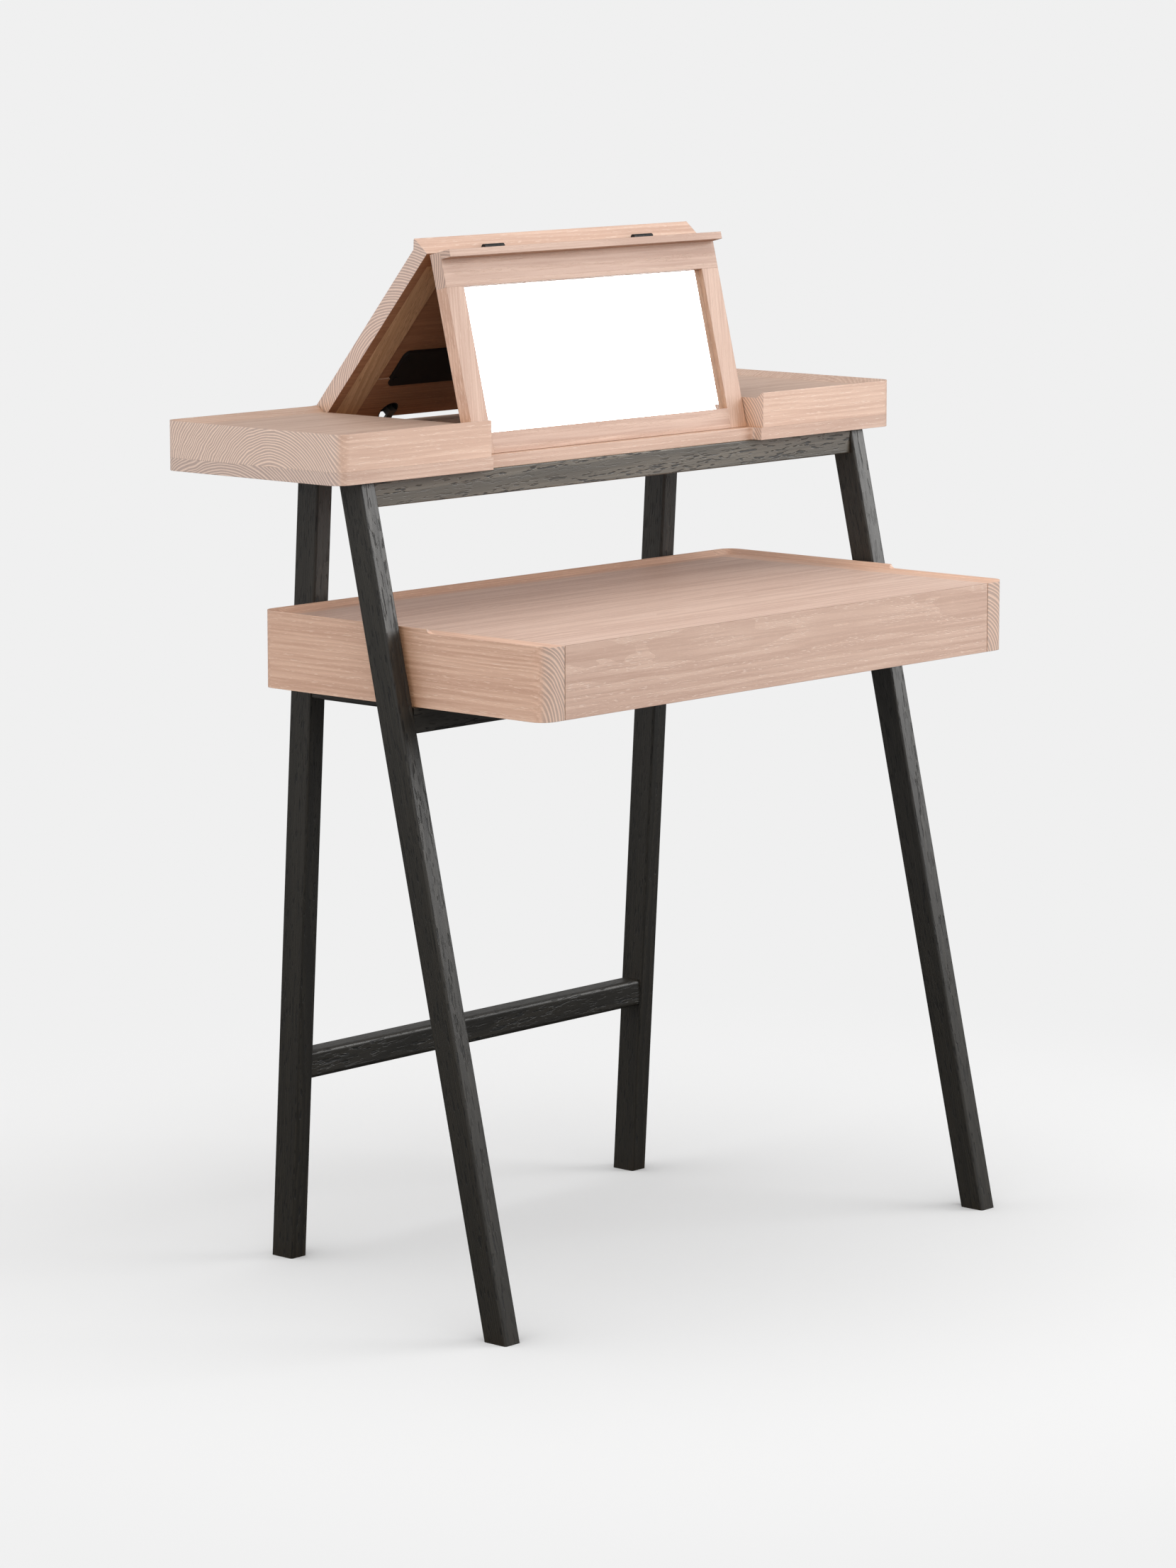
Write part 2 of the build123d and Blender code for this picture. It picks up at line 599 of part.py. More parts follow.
# Rail at the back of the compartment with a slot for each flap hinge
LID_BOTTOM_Z = SHELF_TOP_Z - LID_THICK
with BuildPart() as hinge_rail:
    block(
        (-BLOCK_INNER_X, BLOCK_INNER_X),
        (SHELF_REAR_Y - HINGE_RAIL_DEPTH, SHELF_REAR_Y),
        (BOARD_TOP_Z, LID_BOTTOM_Z),
    )
    for x in (-FLAP_X, FLAP_X):
        block(
            (x - SLOT_HALF, x + SLOT_HALF),
            (SHELF_REAR_Y - SLOT_DEPTH, SHELF_REAR_Y + 5),
            (BRACKET_Z, LID_BOTTOM_Z + 5),
            mode=Mode.SUBTRACT,
        )
write(hinge_rail, "hinge_rail")

# Where the lid and the mirror are
AXIS_Y = SHELF_FRONT_Y + PIVOT_Y
AXIS_Z = LID_BOTTOM_Z + PIVOT_Z


def tilted(y, z, angle):
    """A plane through (y, z), tilted forward about X by an angle."""
    normal = (0, sin(radians(angle)), cos(radians(angle)))
    return Plane(origin=(0, y, z), x_dir=(1, 0, 0), z_dir=normal)


LID_COS = cos(radians(LID_ANGLE))
LID_SIN = sin(radians(LID_ANGLE))
LID_Y = AXIS_Y - PIVOT_Y * LID_COS - PIVOT_Z * LID_SIN
LID_Z = AXIS_Z + PIVOT_Y * LID_SIN - PIVOT_Z * LID_COS
LID_PLANE = tilted(LID_Y, LID_Z, LID_ANGLE)
KNUCKLE_Y = LID_Y + APEX_Y * LID_COS
KNUCKLE_Z = LID_Z - APEX_Y * LID_SIN
MIRROR_COS = cos(radians(LID_ANGLE + FOLD_ANGLE))
MIRROR_SIN = sin(radians(LID_ANGLE + FOLD_ANGLE))
MIRROR_Y = KNUCKLE_Y - APEX_Y * MIRROR_COS
MIRROR_Z = KNUCKLE_Z + APEX_Y * MIRROR_SIN
MIRROR_PLANE = tilted(MIRROR_Y, MIRROR_Z, LID_ANGLE + FOLD_ANGLE)
print("lid axis", AXIS_Y, AXIS_Z, "mirror axis", KNUCKLE_Y, KNUCKLE_Z)

# Flap hinge brackets and pins
with BuildPart() as flap_brackets:
    for x in (-FLAP_X, FLAP_X):
        span = (x - BRACKET_HALF, x + BRACKET_HALF)
        floor_y = (SHELF_REAR_Y - BRACKET_DEPTH, SHELF_REAR_Y)
        block(span, floor_y, (BRACKET_Z, BRACKET_Z + BRACKET_FLOOR))
        for cheek in ((span[0], span[0] + BRACKET_WALL), (span[1] - BRACKET_WALL, span[1])):
            cheek_y = (SHELF_REAR_Y - CHEEK_DEPTH, SHELF_REAR_Y + CHEEK_OUT)
            block(cheek, cheek_y, (BRACKET_Z, LID_BOTTOM_Z - 0.2))
        rod(span, AXIS_Y, AXIS_Z, FLAP_PIN_R, mode=Mode.SUBTRACT)
write(flap_brackets, "flap_hinge_brackets")

with BuildPart() as flap_pins:
    for x in (-FLAP_X, FLAP_X):
        rod((x - BRACKET_HALF, x + BRACKET_HALF), AXIS_Y, AXIS_Z, FLAP_PIN_R)
write(flap_pins, "flap_hinge_pins")

# Lid, oak
PANEL_X = (-PANEL_HALF_WIDTH, PANEL_HALF_WIDTH)
PLATE_MID_Y = (PLATE_START + PLATE_END) / 2
PLATE_SHANK = (-PLATE_PROUD, PLATE_SCREW_LENGTH - PLATE_PROUD)
BATTEN_SPAN = (BATTEN_X - BATTEN_WIDTH / 2, BATTEN_X + BATTEN_WIDTH / 2)
LEAF_SPAN = (BUTT_X - BUTT_LENGTH / 2, BUTT_X + BUTT_LENGTH / 2)
with BuildPart() as lid_board:
    with BuildSketch(Plane.YZ.offset(-LID_HALF_WIDTH)):
        with BuildLine():
            Polyline(
                (0, 0),
                (LID_LENGTH, 0),
                (LID_LENGTH, LID_THICK),
                (LID_LENGTH - RIM_TOP, LID_THICK),
                (LID_LENGTH - RIM_FOOT, LID_THICK - TRAY_DEPTH),
                (RIM_FOOT, LID_THICK - TRAY_DEPTH),
                (RIM_TOP, LID_THICK),
                (0, LID_THICK),
                close=True,
            )
        make_face()
    extrude(amount=2 * LID_HALF_WIDTH)
    block(PANEL_X, (BATTEN_START, PANEL_END), (-1, PANEL_DEEP), mode=Mode.SUBTRACT)
    with BuildSketch(Plane.XY):
        with Locations((0, PLATE_MID_Y)):
            RectangleRounded(2 * PLATE_HALF_WIDTH, PLATE_END - PLATE_START, PLATE_CORNER_R)
    extrude(amount=PANEL_DEEP, mode=Mode.SUBTRACT)
    for side in (-1, 1):
        batten_x = mirrored(BATTEN_SPAN, side)
        leaf_x = mirrored(LEAF_SPAN, side)
        block(batten_x, (BATTEN_START, LID_LENGTH), (0, BATTEN_DEEP), mode=Mode.SUBTRACT)
        upright(side * FLAP_X, CUP_Y, (-1, CUP_DEEP), CUP_R, mode=Mode.SUBTRACT)
        block(leaf_x, (-1, BUTT_LEAF_LENGTH), (-1, BUTT_LEAF_THICK), mode=Mode.SUBTRACT)
        for y in PLATE_SCREW_Y:
            upright(side * PLATE_SCREW_X, y, PLATE_SHANK, PLATE_SCREW_R, mode=Mode.SUBTRACT)
write(lid_board, "lid_board", LID_PLANE)

for word, side in SIDES:
    with BuildPart() as batten:
        block(mirrored(BATTEN_SPAN, side), (BATTEN_START, LID_LENGTH), (0, BATTEN_DEEP))
    write(batten, f"lid_batten_{word}", LID_PLANE)

with BuildPart() as lid_plate:
    with BuildSketch(Plane.XY.offset(-PLATE_PROUD)):
        with Locations((0, PLATE_MID_Y)):
            RectangleRounded(2 * PLATE_HALF_WIDTH, PLATE_END - PLATE_START, PLATE_CORNER_R)
    extrude(amount=PLATE_PROUD + PANEL_DEEP)
    for x in (-PLATE_SCREW_X, PLATE_SCREW_X):
        for y in PLATE_SCREW_Y:
            upright(x, y, (-PLATE_PROUD - 1, PANEL_DEEP + 1), PLATE_SCREW_R, mode=Mode.SUBTRACT)
write(lid_plate, "lid_plate", LID_PLANE)

with BuildPart() as plate_screws:
    for x in (-PLATE_SCREW_X, PLATE_SCREW_X):
        for y in PLATE_SCREW_Y:
            upright(x, y, (-PLATE_PROUD - PLATE_SCREW_HEAD, -PLATE_PROUD), PLATE_SCREW_HEAD_R)
            upright(x, y, PLATE_SHANK, PLATE_SCREW_R)
write(plate_screws, "plate_screws", LID_PLANE)

with BuildPart() as flap_cups:
    for x in (-FLAP_X, FLAP_X):
        upright(x, CUP_Y, (0, CUP_DEEP), CUP_R)
        upright(x, CUP_Y, (-1, CUP_DEEP - CUP_WALL), CUP_R - CUP_WALL, mode=Mode.SUBTRACT)
        beyond_edge = (LID_LENGTH, LID_LENGTH + CUP_R)
        block((x - CUP_R, x + CUP_R), beyond_edge, (-1, CUP_DEEP + 1), mode=Mode.SUBTRACT)
write(flap_cups, "flap_hinge_cups", LID_PLANE)

with BuildPart() as flap_arms:
    for x in (-FLAP_X, FLAP_X):
        arm_x = (x - ARM_HALF_WIDTH, x + ARM_HALF_WIDTH)
        arm_z = PIVOT_Z - ARM_THICK / 2
        span = (x - KNUCKLE_HALF, x + KNUCKLE_HALF)
        block(arm_x, (ARM_BACK_Y, ARM_BACK_Y + ARM_FOOT), (arm_z, CUP_DEEP - CUP_WALL))
        block(arm_x, (ARM_BACK_Y, PIVOT_Y), (arm_z, arm_z + ARM_THICK))
        rod(span, PIVOT_Y, PIVOT_Z, KNUCKLE_R)
        rod(span, PIVOT_Y, PIVOT_Z, FLAP_PIN_R + PIN_PLAY, mode=Mode.SUBTRACT)
write(flap_arms, "flap_hinge_arms", LID_PLANE)


# Butt hinges between lid and mirror
def make_leaves(first, z, bore):
    """The two leaves on one side of the butt hinges, with every second knuckle."""
    segment = BUTT_LENGTH / BUTT_SEGMENTS
    near_y = APEX_Y + BUTT_BARREL_R + BUTT_GAP
    with BuildPart() as leaves:
        for middle in (-BUTT_X, BUTT_X):
            start = middle - BUTT_LENGTH / 2
            block((start, start + BUTT_LENGTH), (near_y, BUTT_LEAF_LENGTH), z)
            for number in range(first, BUTT_SEGMENTS, 2):
                low = start + number * segment + BUTT_GAP / 2
                knuckle_x = (low, low + segment - BUTT_GAP)
                block(knuckle_x, (APEX_Y, near_y + 1), z)
                rod(knuckle_x, APEX_Y, 0, BUTT_BARREL_R)
            rod((start, start + BUTT_LENGTH), APEX_Y, 0, bore, mode=Mode.SUBTRACT)
    return leaves


lid_leaves = make_leaves(0, (0, BUTT_LEAF_THICK), BUTT_PIN_R)
write(lid_leaves, "butt_hinge_lid_leaves", LID_PLANE)
mirror_leaves = make_leaves(1, (-BUTT_LEAF_THICK, 0), BUTT_PIN_R + PIN_PLAY)
write(mirror_leaves, "butt_hinge_mirror_leaves", MIRROR_PLANE)

with BuildPart() as butt_pins:
    for middle in (-BUTT_X, BUTT_X):
        rod((middle - BUTT_LENGTH / 2, middle + BUTT_LENGTH / 2), APEX_Y, 0, BUTT_PIN_R)
write(butt_pins, "butt_hinge_pins", LID_PLANE)


# Mirror frame, oak
def foot_y(z):
    """Where the foot ends, level with the board it stands on, at depth z."""
    return (MIRROR_Z + z * MIRROR_COS - BOARD_TOP_Z - FOOT_PLAY) / MIRROR_SIN


GLASS_Z = -MIRROR_THICK + GLASS_SET_BACK
GLASS_BACK_Z = GLASS_Z + GLASS_THICK
STILE_INNER_X = LID_HALF_WIDTH - STILE
REBATE_X = (-STILE_INNER_X - REBATE, STILE_INNER_X + REBATE)
REBATE_Y = (TOP_RAIL - REBATE, GLASS_OPENING_END + REBATE)
MIRROR_X = (-LID_HALF_WIDTH, LID_HALF_WIDTH)
with BuildPart() as glass_rebate:
    block(REBATE_X, REBATE_Y, (GLASS_Z, 5))

with BuildPart() as mirror_top_rail:
    block(MIRROR_X, (0, TOP_RAIL), (-MIRROR_THICK, 0))
    add(glass_rebate.part, mode=Mode.SUBTRACT)
    for side in (-1, 1):
        leaf_x = mirrored(LEAF_SPAN, side)
        block(leaf_x, (-1, BUTT_LEAF_LENGTH), (-BUTT_LEAF_THICK, 1), mode=Mode.SUBTRACT)
write(mirror_top_rail, "mirror_top_rail", MIRROR_PLANE)


def make_foot_piece(x, start_y):
    """A piece of the mirror frame that reaches down to the level foot."""
    with BuildPart() as piece:
        with BuildSketch(Plane.YZ.offset(x[0])):
            with BuildLine():
                Polyline(
                    (start_y, -MIRROR_THICK),
                    (foot_y(-MIRROR_THICK), -MIRROR_THICK),
                    (foot_y(0), 0),
                    (start_y, 0),
                    close=True,
                )
            make_face()
        extrude(amount=x[1] - x[0])
        add(glass_rebate.part, mode=Mode.SUBTRACT)
    return piece


for word, side in SIDES:
    stile_x = mirrored((STILE_INNER_X, LID_HALF_WIDTH), side)
    write(make_foot_piece(stile_x, TOP_RAIL), f"mirror_stile_{word}", MIRROR_PLANE)
bottom_rail = make_foot_piece((-STILE_INNER_X, STILE_INNER_X), GLASS_OPENING_END)
write(bottom_rail, "mirror_bottom_rail", MIRROR_PLANE)

with BuildPart() as mirror_ledge:
    block(MIRROR_X, (0, LEDGE_HEIGHT), (-MIRROR_THICK - LEDGE_DEPTH, -MIRROR_THICK))
write(mirror_ledge, "mirror_ledge", MIRROR_PLANE)

with BuildPart() as mirror_glass:
    block(REBATE_X, REBATE_Y, (GLASS_Z, GLASS_BACK_Z))
write(mirror_glass, "mirror_glass", MIRROR_PLANE)

with BuildPart() as mirror_back:
    block(REBATE_X, REBATE_Y, (GLASS_BACK_Z, GLASS_BACK_Z + BACK_THICK))
write(mirror_back, "mirror_back", MIRROR_PLANE)
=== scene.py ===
"""Tray desk: the finish of every piece, the studio and the camera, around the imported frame.

All places and sizes are in metres, +X to the right seen from the front, +Y to the back, +Z up.
"""

import logging
import math
from abc import ABC, abstractmethod
from collections import defaultdict
from dataclasses import dataclass, field
from enum import Enum
from typing import ClassVar

import bpy
import bmesh
from mathutils import Matrix, Vector


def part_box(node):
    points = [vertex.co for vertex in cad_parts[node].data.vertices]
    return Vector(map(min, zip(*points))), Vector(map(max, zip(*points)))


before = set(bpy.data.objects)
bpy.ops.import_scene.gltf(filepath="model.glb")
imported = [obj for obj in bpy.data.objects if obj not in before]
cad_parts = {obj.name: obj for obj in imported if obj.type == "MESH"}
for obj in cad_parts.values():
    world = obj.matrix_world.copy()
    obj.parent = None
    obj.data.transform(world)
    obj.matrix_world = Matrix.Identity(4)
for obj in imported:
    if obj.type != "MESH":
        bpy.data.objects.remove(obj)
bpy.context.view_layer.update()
LOG = logging.getLogger("tray desk")

Colour = tuple[float, float, float]
Point = tuple[float, float, float]
Band = tuple[float, float]
Socket = bpy.types.NodeSocket

SIDES = ("left", "right")
SEEDS_PER_ASSEMBLY = 10

# The Mix node has one pair of inputs and one output for each kind of value, all with the same names.
MIX_COLOUR_A, MIX_COLOUR_B, MIX_COLOUR_OUT = 6, 7, 2
NOISE_MEAN = 0.5

# Directions of a mesh: the angle of a real corner, the tilt of a side that still lies along the fibres,
# and the decimals to which two normals have to agree to belong to one side.
SHARP_CORNER = math.radians(20.0)
ALONG_TILT = 0.1
NORMAL_DECIMALS = 1


class Grain(Enum):
    """Which way the fibres of a board run."""

    LENGTHWISE = "along the piece's longest straight edge"
    ACROSS_DESK = (1.0, 0.0, 0.0)
    FRONT_TO_BACK = (0.0, 1.0, 0.0)


class Graph:
    """A short way to lay out the nodes of one material or one node group."""

    def __init__(self, tree: bpy.types.NodeTree) -> None:
        """Takes the node tree that the nodes go into."""
        self.tree = tree

    def add(self, kind: str, settings: dict | None = None, **sockets: object) -> bpy.types.Node:
        """Adds one node.

        Args:
            kind: the node's type name.
            settings: properties of the node itself.
            sockets: input values or links, by input name with _ for a space.

        Returns:
            The new node.
        """
        node = self.tree.nodes.new(kind)
        for name, value in (settings or {}).items():
            setattr(node, name, value)
        for name, value in sockets.items():
            self.feed(node.inputs[name.replace("_", " ")], value)
        return node

    def feed(self, socket: Socket, value: object) -> None:
        """Links a socket to another node's output, or sets its value.

        Args:
            socket: the input.
            value: an output to link, a plain value, or None to leave the input as it is.
        """
        if isinstance(value, Socket):
            self.tree.links.new(value, socket)
        elif value is not None:
            socket.default_value = value

    def math(self, operation: str, a: object, b: object = None) -> Socket:
        """One Math node.

        Args:
            operation: the node's operation.
            a: first value or link.
            b: second value or link, if the operation has one.

        Returns:
            The result's socket.
        """
        node = self.add("ShaderNodeMath", {"operation": operation})
        self.feed(node.inputs[0], a)
        self.feed(node.inputs[1], b)
        return node.outputs[0]

    def vector(self, operation: str, a: object, b: object = None) -> bpy.types.NodeOutputs:
        """One Vector Math node.

        Args:
            operation: the node's operation.
            a: first vector or link.
            b: second vector or link, if the operation has one.

        Returns:
            The node's outputs, "Vector" and "Value".
        """
        node = self.add("ShaderNodeVectorMath", {"operation": operation})
        self.feed(node.inputs[0], a)
        self.feed(node.inputs[1], b)
        return node.outputs

    def parts(self, vector: Socket) -> tuple[Socket, ...]:
        """The three components of a vector."""
        return tuple(self.add("ShaderNodeSeparateXYZ", Vector=vector).outputs)

    def joined(self, x: object, y: object, z: object) -> Socket:
        """A vector made from three values or links."""
        return self.add("ShaderNodeCombineXYZ", X=x, Y=y, Z=z).outputs[0]

    def noise(self, place: Socket, scale: object = 1.0, detail: float = 2.0) -> Socket:
        """A noise value around 0.5.

        Args:
            place: the point at which it is read.
            scale: how many features fit in one unit.
            detail: how many finer layers it has.

        Returns:
            The noise value's socket.
        """
        return self.add("ShaderNodeTexNoise", Vector=place, Scale=scale, Detail=detail).outputs[0]

    def ramp(self, value: Socket, band: Band) -> Socket:
        """A smooth step.

        Args:
            value: the value that is read.
            band: where the step begins and ends.

        Returns:
            0 below the band and 1 above it.
        """
        node = self.add("ShaderNodeMapRange", {"interpolation_type": "SMOOTHSTEP"}, Value=value)
        node.inputs["From Min"].default_value, node.inputs["From Max"].default_value = band
        return node.outputs[0]

    def blend(self, factor: object, a: object, b: object, way: str = "MIX") -> Socket:
        """Mixes two colours.

        Args:
            factor: how much of b.
            a: first colour or link.
            b: second colour or link.
            way: the blend type.

        Returns:
            The mixed colour's socket.
        """
        node = self.add("ShaderNodeMix", {"data_type": "RGBA", "blend_type": way}, Factor=factor)
        self.feed(node.inputs[MIX_COLOUR_A], rgba(a))
        self.feed(node.inputs[MIX_COLOUR_B], rgba(b))
        return node.outputs[MIX_COLOUR_OUT]

    def tinted(self, colour: object, tone: Colour) -> Socket:
        """A colour multiplied by a tone."""
        return self.blend(1.0, colour, tone, "MULTIPLY")


def rgba(colour: object) -> object:
    """A plain colour gets its alpha, and a link stays as it is."""
    return (*colour, 1.0) if isinstance(colour, tuple) else colour


def grey(level: float) -> tuple[float, float, float, float]:
    """An opaque neutral colour."""
    return (level, level, level, 1.0)


class SharedGroup:
    """A shader node group with named sockets, which more than one material uses."""

    def __init__(self, name: str, inputs: dict[str, tuple[str, object]], outputs: dict[str, str]) -> None:
        """Starts the group.

        Args:
            name: the group's name.
            inputs: kind and usual value of each input.
            outputs: kind of each output.
        """
        tree = bpy.data.node_groups.new(name, "ShaderNodeTree")
        for title, (kind, usual) in inputs.items():
            socket = tree.interface.new_socket(title, in_out="INPUT", socket_type=f"NodeSocket{kind}")
            socket.default_value = usual
        for title, kind in outputs.items():
            tree.interface.new_socket(title, in_out="OUTPUT", socket_type=f"NodeSocket{kind}")
        entry = tree.nodes.new("NodeGroupInput")
        self.graph = Graph(tree)
        self.given = {title: entry.outputs[title] for title in inputs}
        self.way_out = tree.nodes.new("NodeGroupOutput")

    def close(self, results: dict[str, Socket]) -> bpy.types.NodeTree:
        """Links the results to the group's outputs.

        Args:
            results: what leaves by each output.

        Returns:
            The finished group.
        """
        for title, value in results.items():
            self.graph.feed(self.way_out.inputs[title], value)
        return self.graph.tree


@dataclass(frozen=True)
class Layer:
    """One layer of the figure in wood.

    Attributes:
        density: features per metre along the fibres and in the two ways across them.
        detail: how many finer octaves lie on it.
    """

    density: Point
    detail: float

    def read(self, graph: Graph, place: Socket, size: Socket | None = None) -> Socket:
        """The layer's value at a point.

        Args:
            graph: the nodes that this one joins.
            place: the point, along the board's own axes.
            size: how much coarser than usual the layer is, where that varies.

        Returns:
            A value around 0.5.
        """
        at = graph.vector("MULTIPLY", place, self.density)["Vector"]
        if size is not None:
            at = graph.vector("DIVIDE", at, graph.joined(size, size, size))["Vector"]
        return graph.noise(at, detail=self.detail)


@dataclass(frozen=True)
class LogFigure:
    """The figure of a board cut from a log: growth rings, fibres and pores around a pith.

    Long grain, arched grain and end grain all come out of the one solid pattern.

    Attributes:
        bend: slow bends of the log.
        ripple: short ripples on them.
        ripple_share: how far the ripples reach against the bends.
        outward_share: how much of the sideways sway also moves the rings outwards.
        year_density: good and bad years per metre outwards from the pith.
        year_swing: by how many rings good and bad years shift the count.
        dense_part: part of a ring over which the wood turns dense.
        open_part: part of a ring over which its pores thin out.
        fibre: single fibres.
        fibre_share: how much of the fibres' figure they make up.
        strand: bundles of fibres.
        strand_share: how much of the fibres' figure the bundles make up.
        pore: pores, open wherever the layer is high.
        pore_rim: values of that layer at the rim of a pore.
        late_pores: share of the pores that dense wood keeps.
        patch: slow changes of colour from patch to patch.
        end_tilt: how square to the fibres a surface lies where it turns into end grain.
        fibre_height: how far fibres stand up against the depth of a pore.
        ring_height: how far dense wood stands up against the depth of a pore.
        seed_step: how far apart in the log two boards lie.
    """

    bend: Layer = Layer((2.4, 13.0, 13.0), 2.0)
    ripple: Layer = Layer((16.0, 60.0, 60.0), 1.0)
    ripple_share: float = 0.16
    outward_share: float = 0.5
    year_density: float = 90.0
    year_swing: float = 1.6
    dense_part: Band = (0.2, 0.95)
    open_part: Band = (0.3, 0.6)
    fibre: Layer = Layer((9.0, 330.0, 330.0), 4.0)
    fibre_share: float = 0.55
    strand: Layer = Layer((2.6, 95.0, 95.0), 3.0)
    strand_share: float = 0.45
    pore: Layer = Layer((110.0, 800.0, 800.0), 1.0)
    pore_rim: Band = (0.56, 0.66)
    late_pores: float = 0.25
    patch: Layer = Layer((2.2, 11.0, 11.0), 3.0)
    end_tilt: Band = (0.5, 0.9)
    fibre_height: float = 0.5
    ring_height: float = 0.3
    seed_step: float = 3.71

    def build(self) -> bpy.types.NodeTree:
        """Builds the node group.

        Returns:
            The group, whose masks and height change over the wood.
        """
        group = SharedGroup(
            "log figure",
            {
                "Centre": ("Vector", (0.0, 0.0, 0.0)),
                "Turn": ("Vector", (0.0, 0.0, 0.0)),
                "Pith": ("Vector", (0.0, 0.0, -0.1)),
                "Ring Width": ("Float", 0.003),
                "Waver": ("Float", 0.01),
                "Pore Size": ("Float", 1.0),
                "Seed": ("Float", 0.0),
            },
            {"Rings": "Float", "Fibres": "Float", "Pores": "Float", "Patches": "Float",
             "End Grain": "Float", "Facing": "Float", "Height": "Float"},
        )
        graph, given = group.graph, group.given
        source = graph.add("ShaderNodeTexCoord")
        from_centre = graph.vector("SUBTRACT", source.outputs["Object"], given["Centre"])["Vector"]
        place = self.turned(graph, from_centre, given["Turn"])
        end_facing, _, face_facing = graph.parts(
            self.turned(graph, source.outputs["Normal"], given["Turn"]))
        shift = graph.math("MULTIPLY", given["Seed"], self.seed_step)
        in_log = graph.vector("ADD", place, graph.joined(shift, shift, shift))["Vector"]

        in_ring = self.way_through_ring(graph, given, place, in_log)
        rings = graph.ramp(in_ring, self.dense_part)
        fibres = graph.math(
            "ADD",
            graph.math("MULTIPLY", self.fibre.read(graph, in_log), self.fibre_share),
            graph.math("MULTIPLY", self.strand.read(graph, in_log), self.strand_share),
        )
        pores = self.open_pores(graph, in_ring, in_log, given["Pore Size"])
        raised = graph.math(
            "ADD",
            graph.math("MULTIPLY", fibres, self.fibre_height),
            graph.math("MULTIPLY", rings, self.ring_height),
        )
        return group.close({
            "Rings": rings,
            "Fibres": fibres,
            "Pores": pores,
            "Patches": self.patch.read(graph, in_log),
            "End Grain": graph.ramp(graph.math("ABSOLUTE", end_facing), self.end_tilt),
            "Facing": face_facing,
            "Height": graph.math("SUBTRACT", raised, pores),
        })

    @staticmethod
    def turned(graph: Graph, vector: Socket, turn: Socket) -> Socket:
        """A vector seen along the board's own axes.

        Args:
            graph: the group's nodes.
            vector: the vector in the desk's frame.
            turn: how the board's axes are turned.

        Returns:
            The same vector, first along the fibres, then across and through the board.
        """
        way = {"rotation_type": "EULER_XYZ", "invert": True}
        return graph.add("ShaderNodeVectorRotate", way, Vector=vector, Rotation=turn).outputs[0]

    def way_through_ring(
        self, graph: Graph, given: dict[str, Socket], place: Socket, in_log: Socket
    ) -> Socket:
        """How far through its growth ring a point lies.

        Args:
            graph: the group's nodes.
            given: the group's inputs.
            place: the point, from the board's centre.
            in_log: the point, from the log's own zero.

        Returns:
            0 where the ring begins and 1 where it ends.
        """
        bend = graph.math("SUBTRACT", self.bend.read(graph, in_log), NOISE_MEAN)
        ripple = graph.math("SUBTRACT", self.ripple.read(graph, in_log), NOISE_MEAN)
        ripple = graph.math("MULTIPLY", ripple, self.ripple_share)
        sway = graph.math("MULTIPLY", graph.math("ADD", bend, ripple), given["Waver"])

        _, across, deep = graph.parts(graph.vector("SUBTRACT", place, given["Pith"])["Vector"])
        across = graph.math("ADD", across, sway)
        squares = graph.math("ADD", graph.math("POWER", across, 2.0), graph.math("POWER", deep, 2.0))
        outward = graph.math("MULTIPLY", sway, self.outward_share)
        radius = graph.math("ADD", graph.math("SQRT", squares), outward)
        years = graph.math("MULTIPLY", radius, self.year_density)
        uneven = graph.noise(graph.joined(years, given["Seed"], 0.0), detail=1.0)
        swing = graph.math("MULTIPLY", uneven, self.year_swing)
        count = graph.math("ADD", graph.math("DIVIDE", radius, given["Ring Width"]), swing)
        return graph.math("FRACT", count)

    def open_pores(self, graph: Graph, in_ring: Socket, in_log: Socket, size: Socket) -> Socket:
        """Pores, which are fewer in the dense part of a ring.

        Args:
            graph: the group's nodes.
            in_ring: how far through its ring the point lies.
            in_log: the point, from the log's own zero.
            size: how coarse the pores are.

        Returns:
            1 in a pore of open wood and 0 between pores.
        """
        spots = graph.ramp(self.pore.read(graph, in_log, size), self.pore_rim)
        early = graph.math("SUBTRACT", 1.0, graph.ramp(in_ring, self.open_part))
        share = graph.math("MULTIPLY", early, 1.0 - self.late_pores)
        return graph.math("MULTIPLY", spots, graph.math("ADD", share, self.late_pores))


@dataclass(frozen=True)
class EasedEdge:
    """Sharp edges taken off by a pass of fine paper: a rounded normal and a mask along them.

    Attributes:
        samples: how many rays find the edge.
        turn: how far the rounded normal leaves the flat one where the mask begins and ends.
        gaps: values of the noise at which the mask breaks off.
    """

    samples: int = 4
    turn: Band = (0.01, 0.16)
    gaps: Band = (0.3, 0.6)

    def build(self) -> bpy.types.NodeTree:
        """Builds the node group.

        Returns:
            The group, with the mask and the normal.
        """
        group = SharedGroup(
            "eased edge",
            {"Radius": ("Float", 0.0008), "Breaks": ("Float", 60.0)},
            {"Mask": "Float", "Normal": "Vector"},
        )
        graph, given = group.graph, group.given
        rounded = graph.add("ShaderNodeBevel", {"samples": self.samples}, Radius=given["Radius"]).outputs[0]
        flat = graph.add("ShaderNodeNewGeometry").outputs["Normal"]
        turned = graph.math("SUBTRACT", 1.0, graph.vector("DOT_PRODUCT", rounded, flat)["Value"])
        place = graph.add("ShaderNodeTexCoord").outputs["Object"]
        broken = graph.ramp(graph.noise(place, given["Breaks"]), self.gaps)
        mask = graph.math("MULTIPLY", graph.ramp(turned, self.turn), broken)
        return group.close({"Mask": mask, "Normal": rounded})


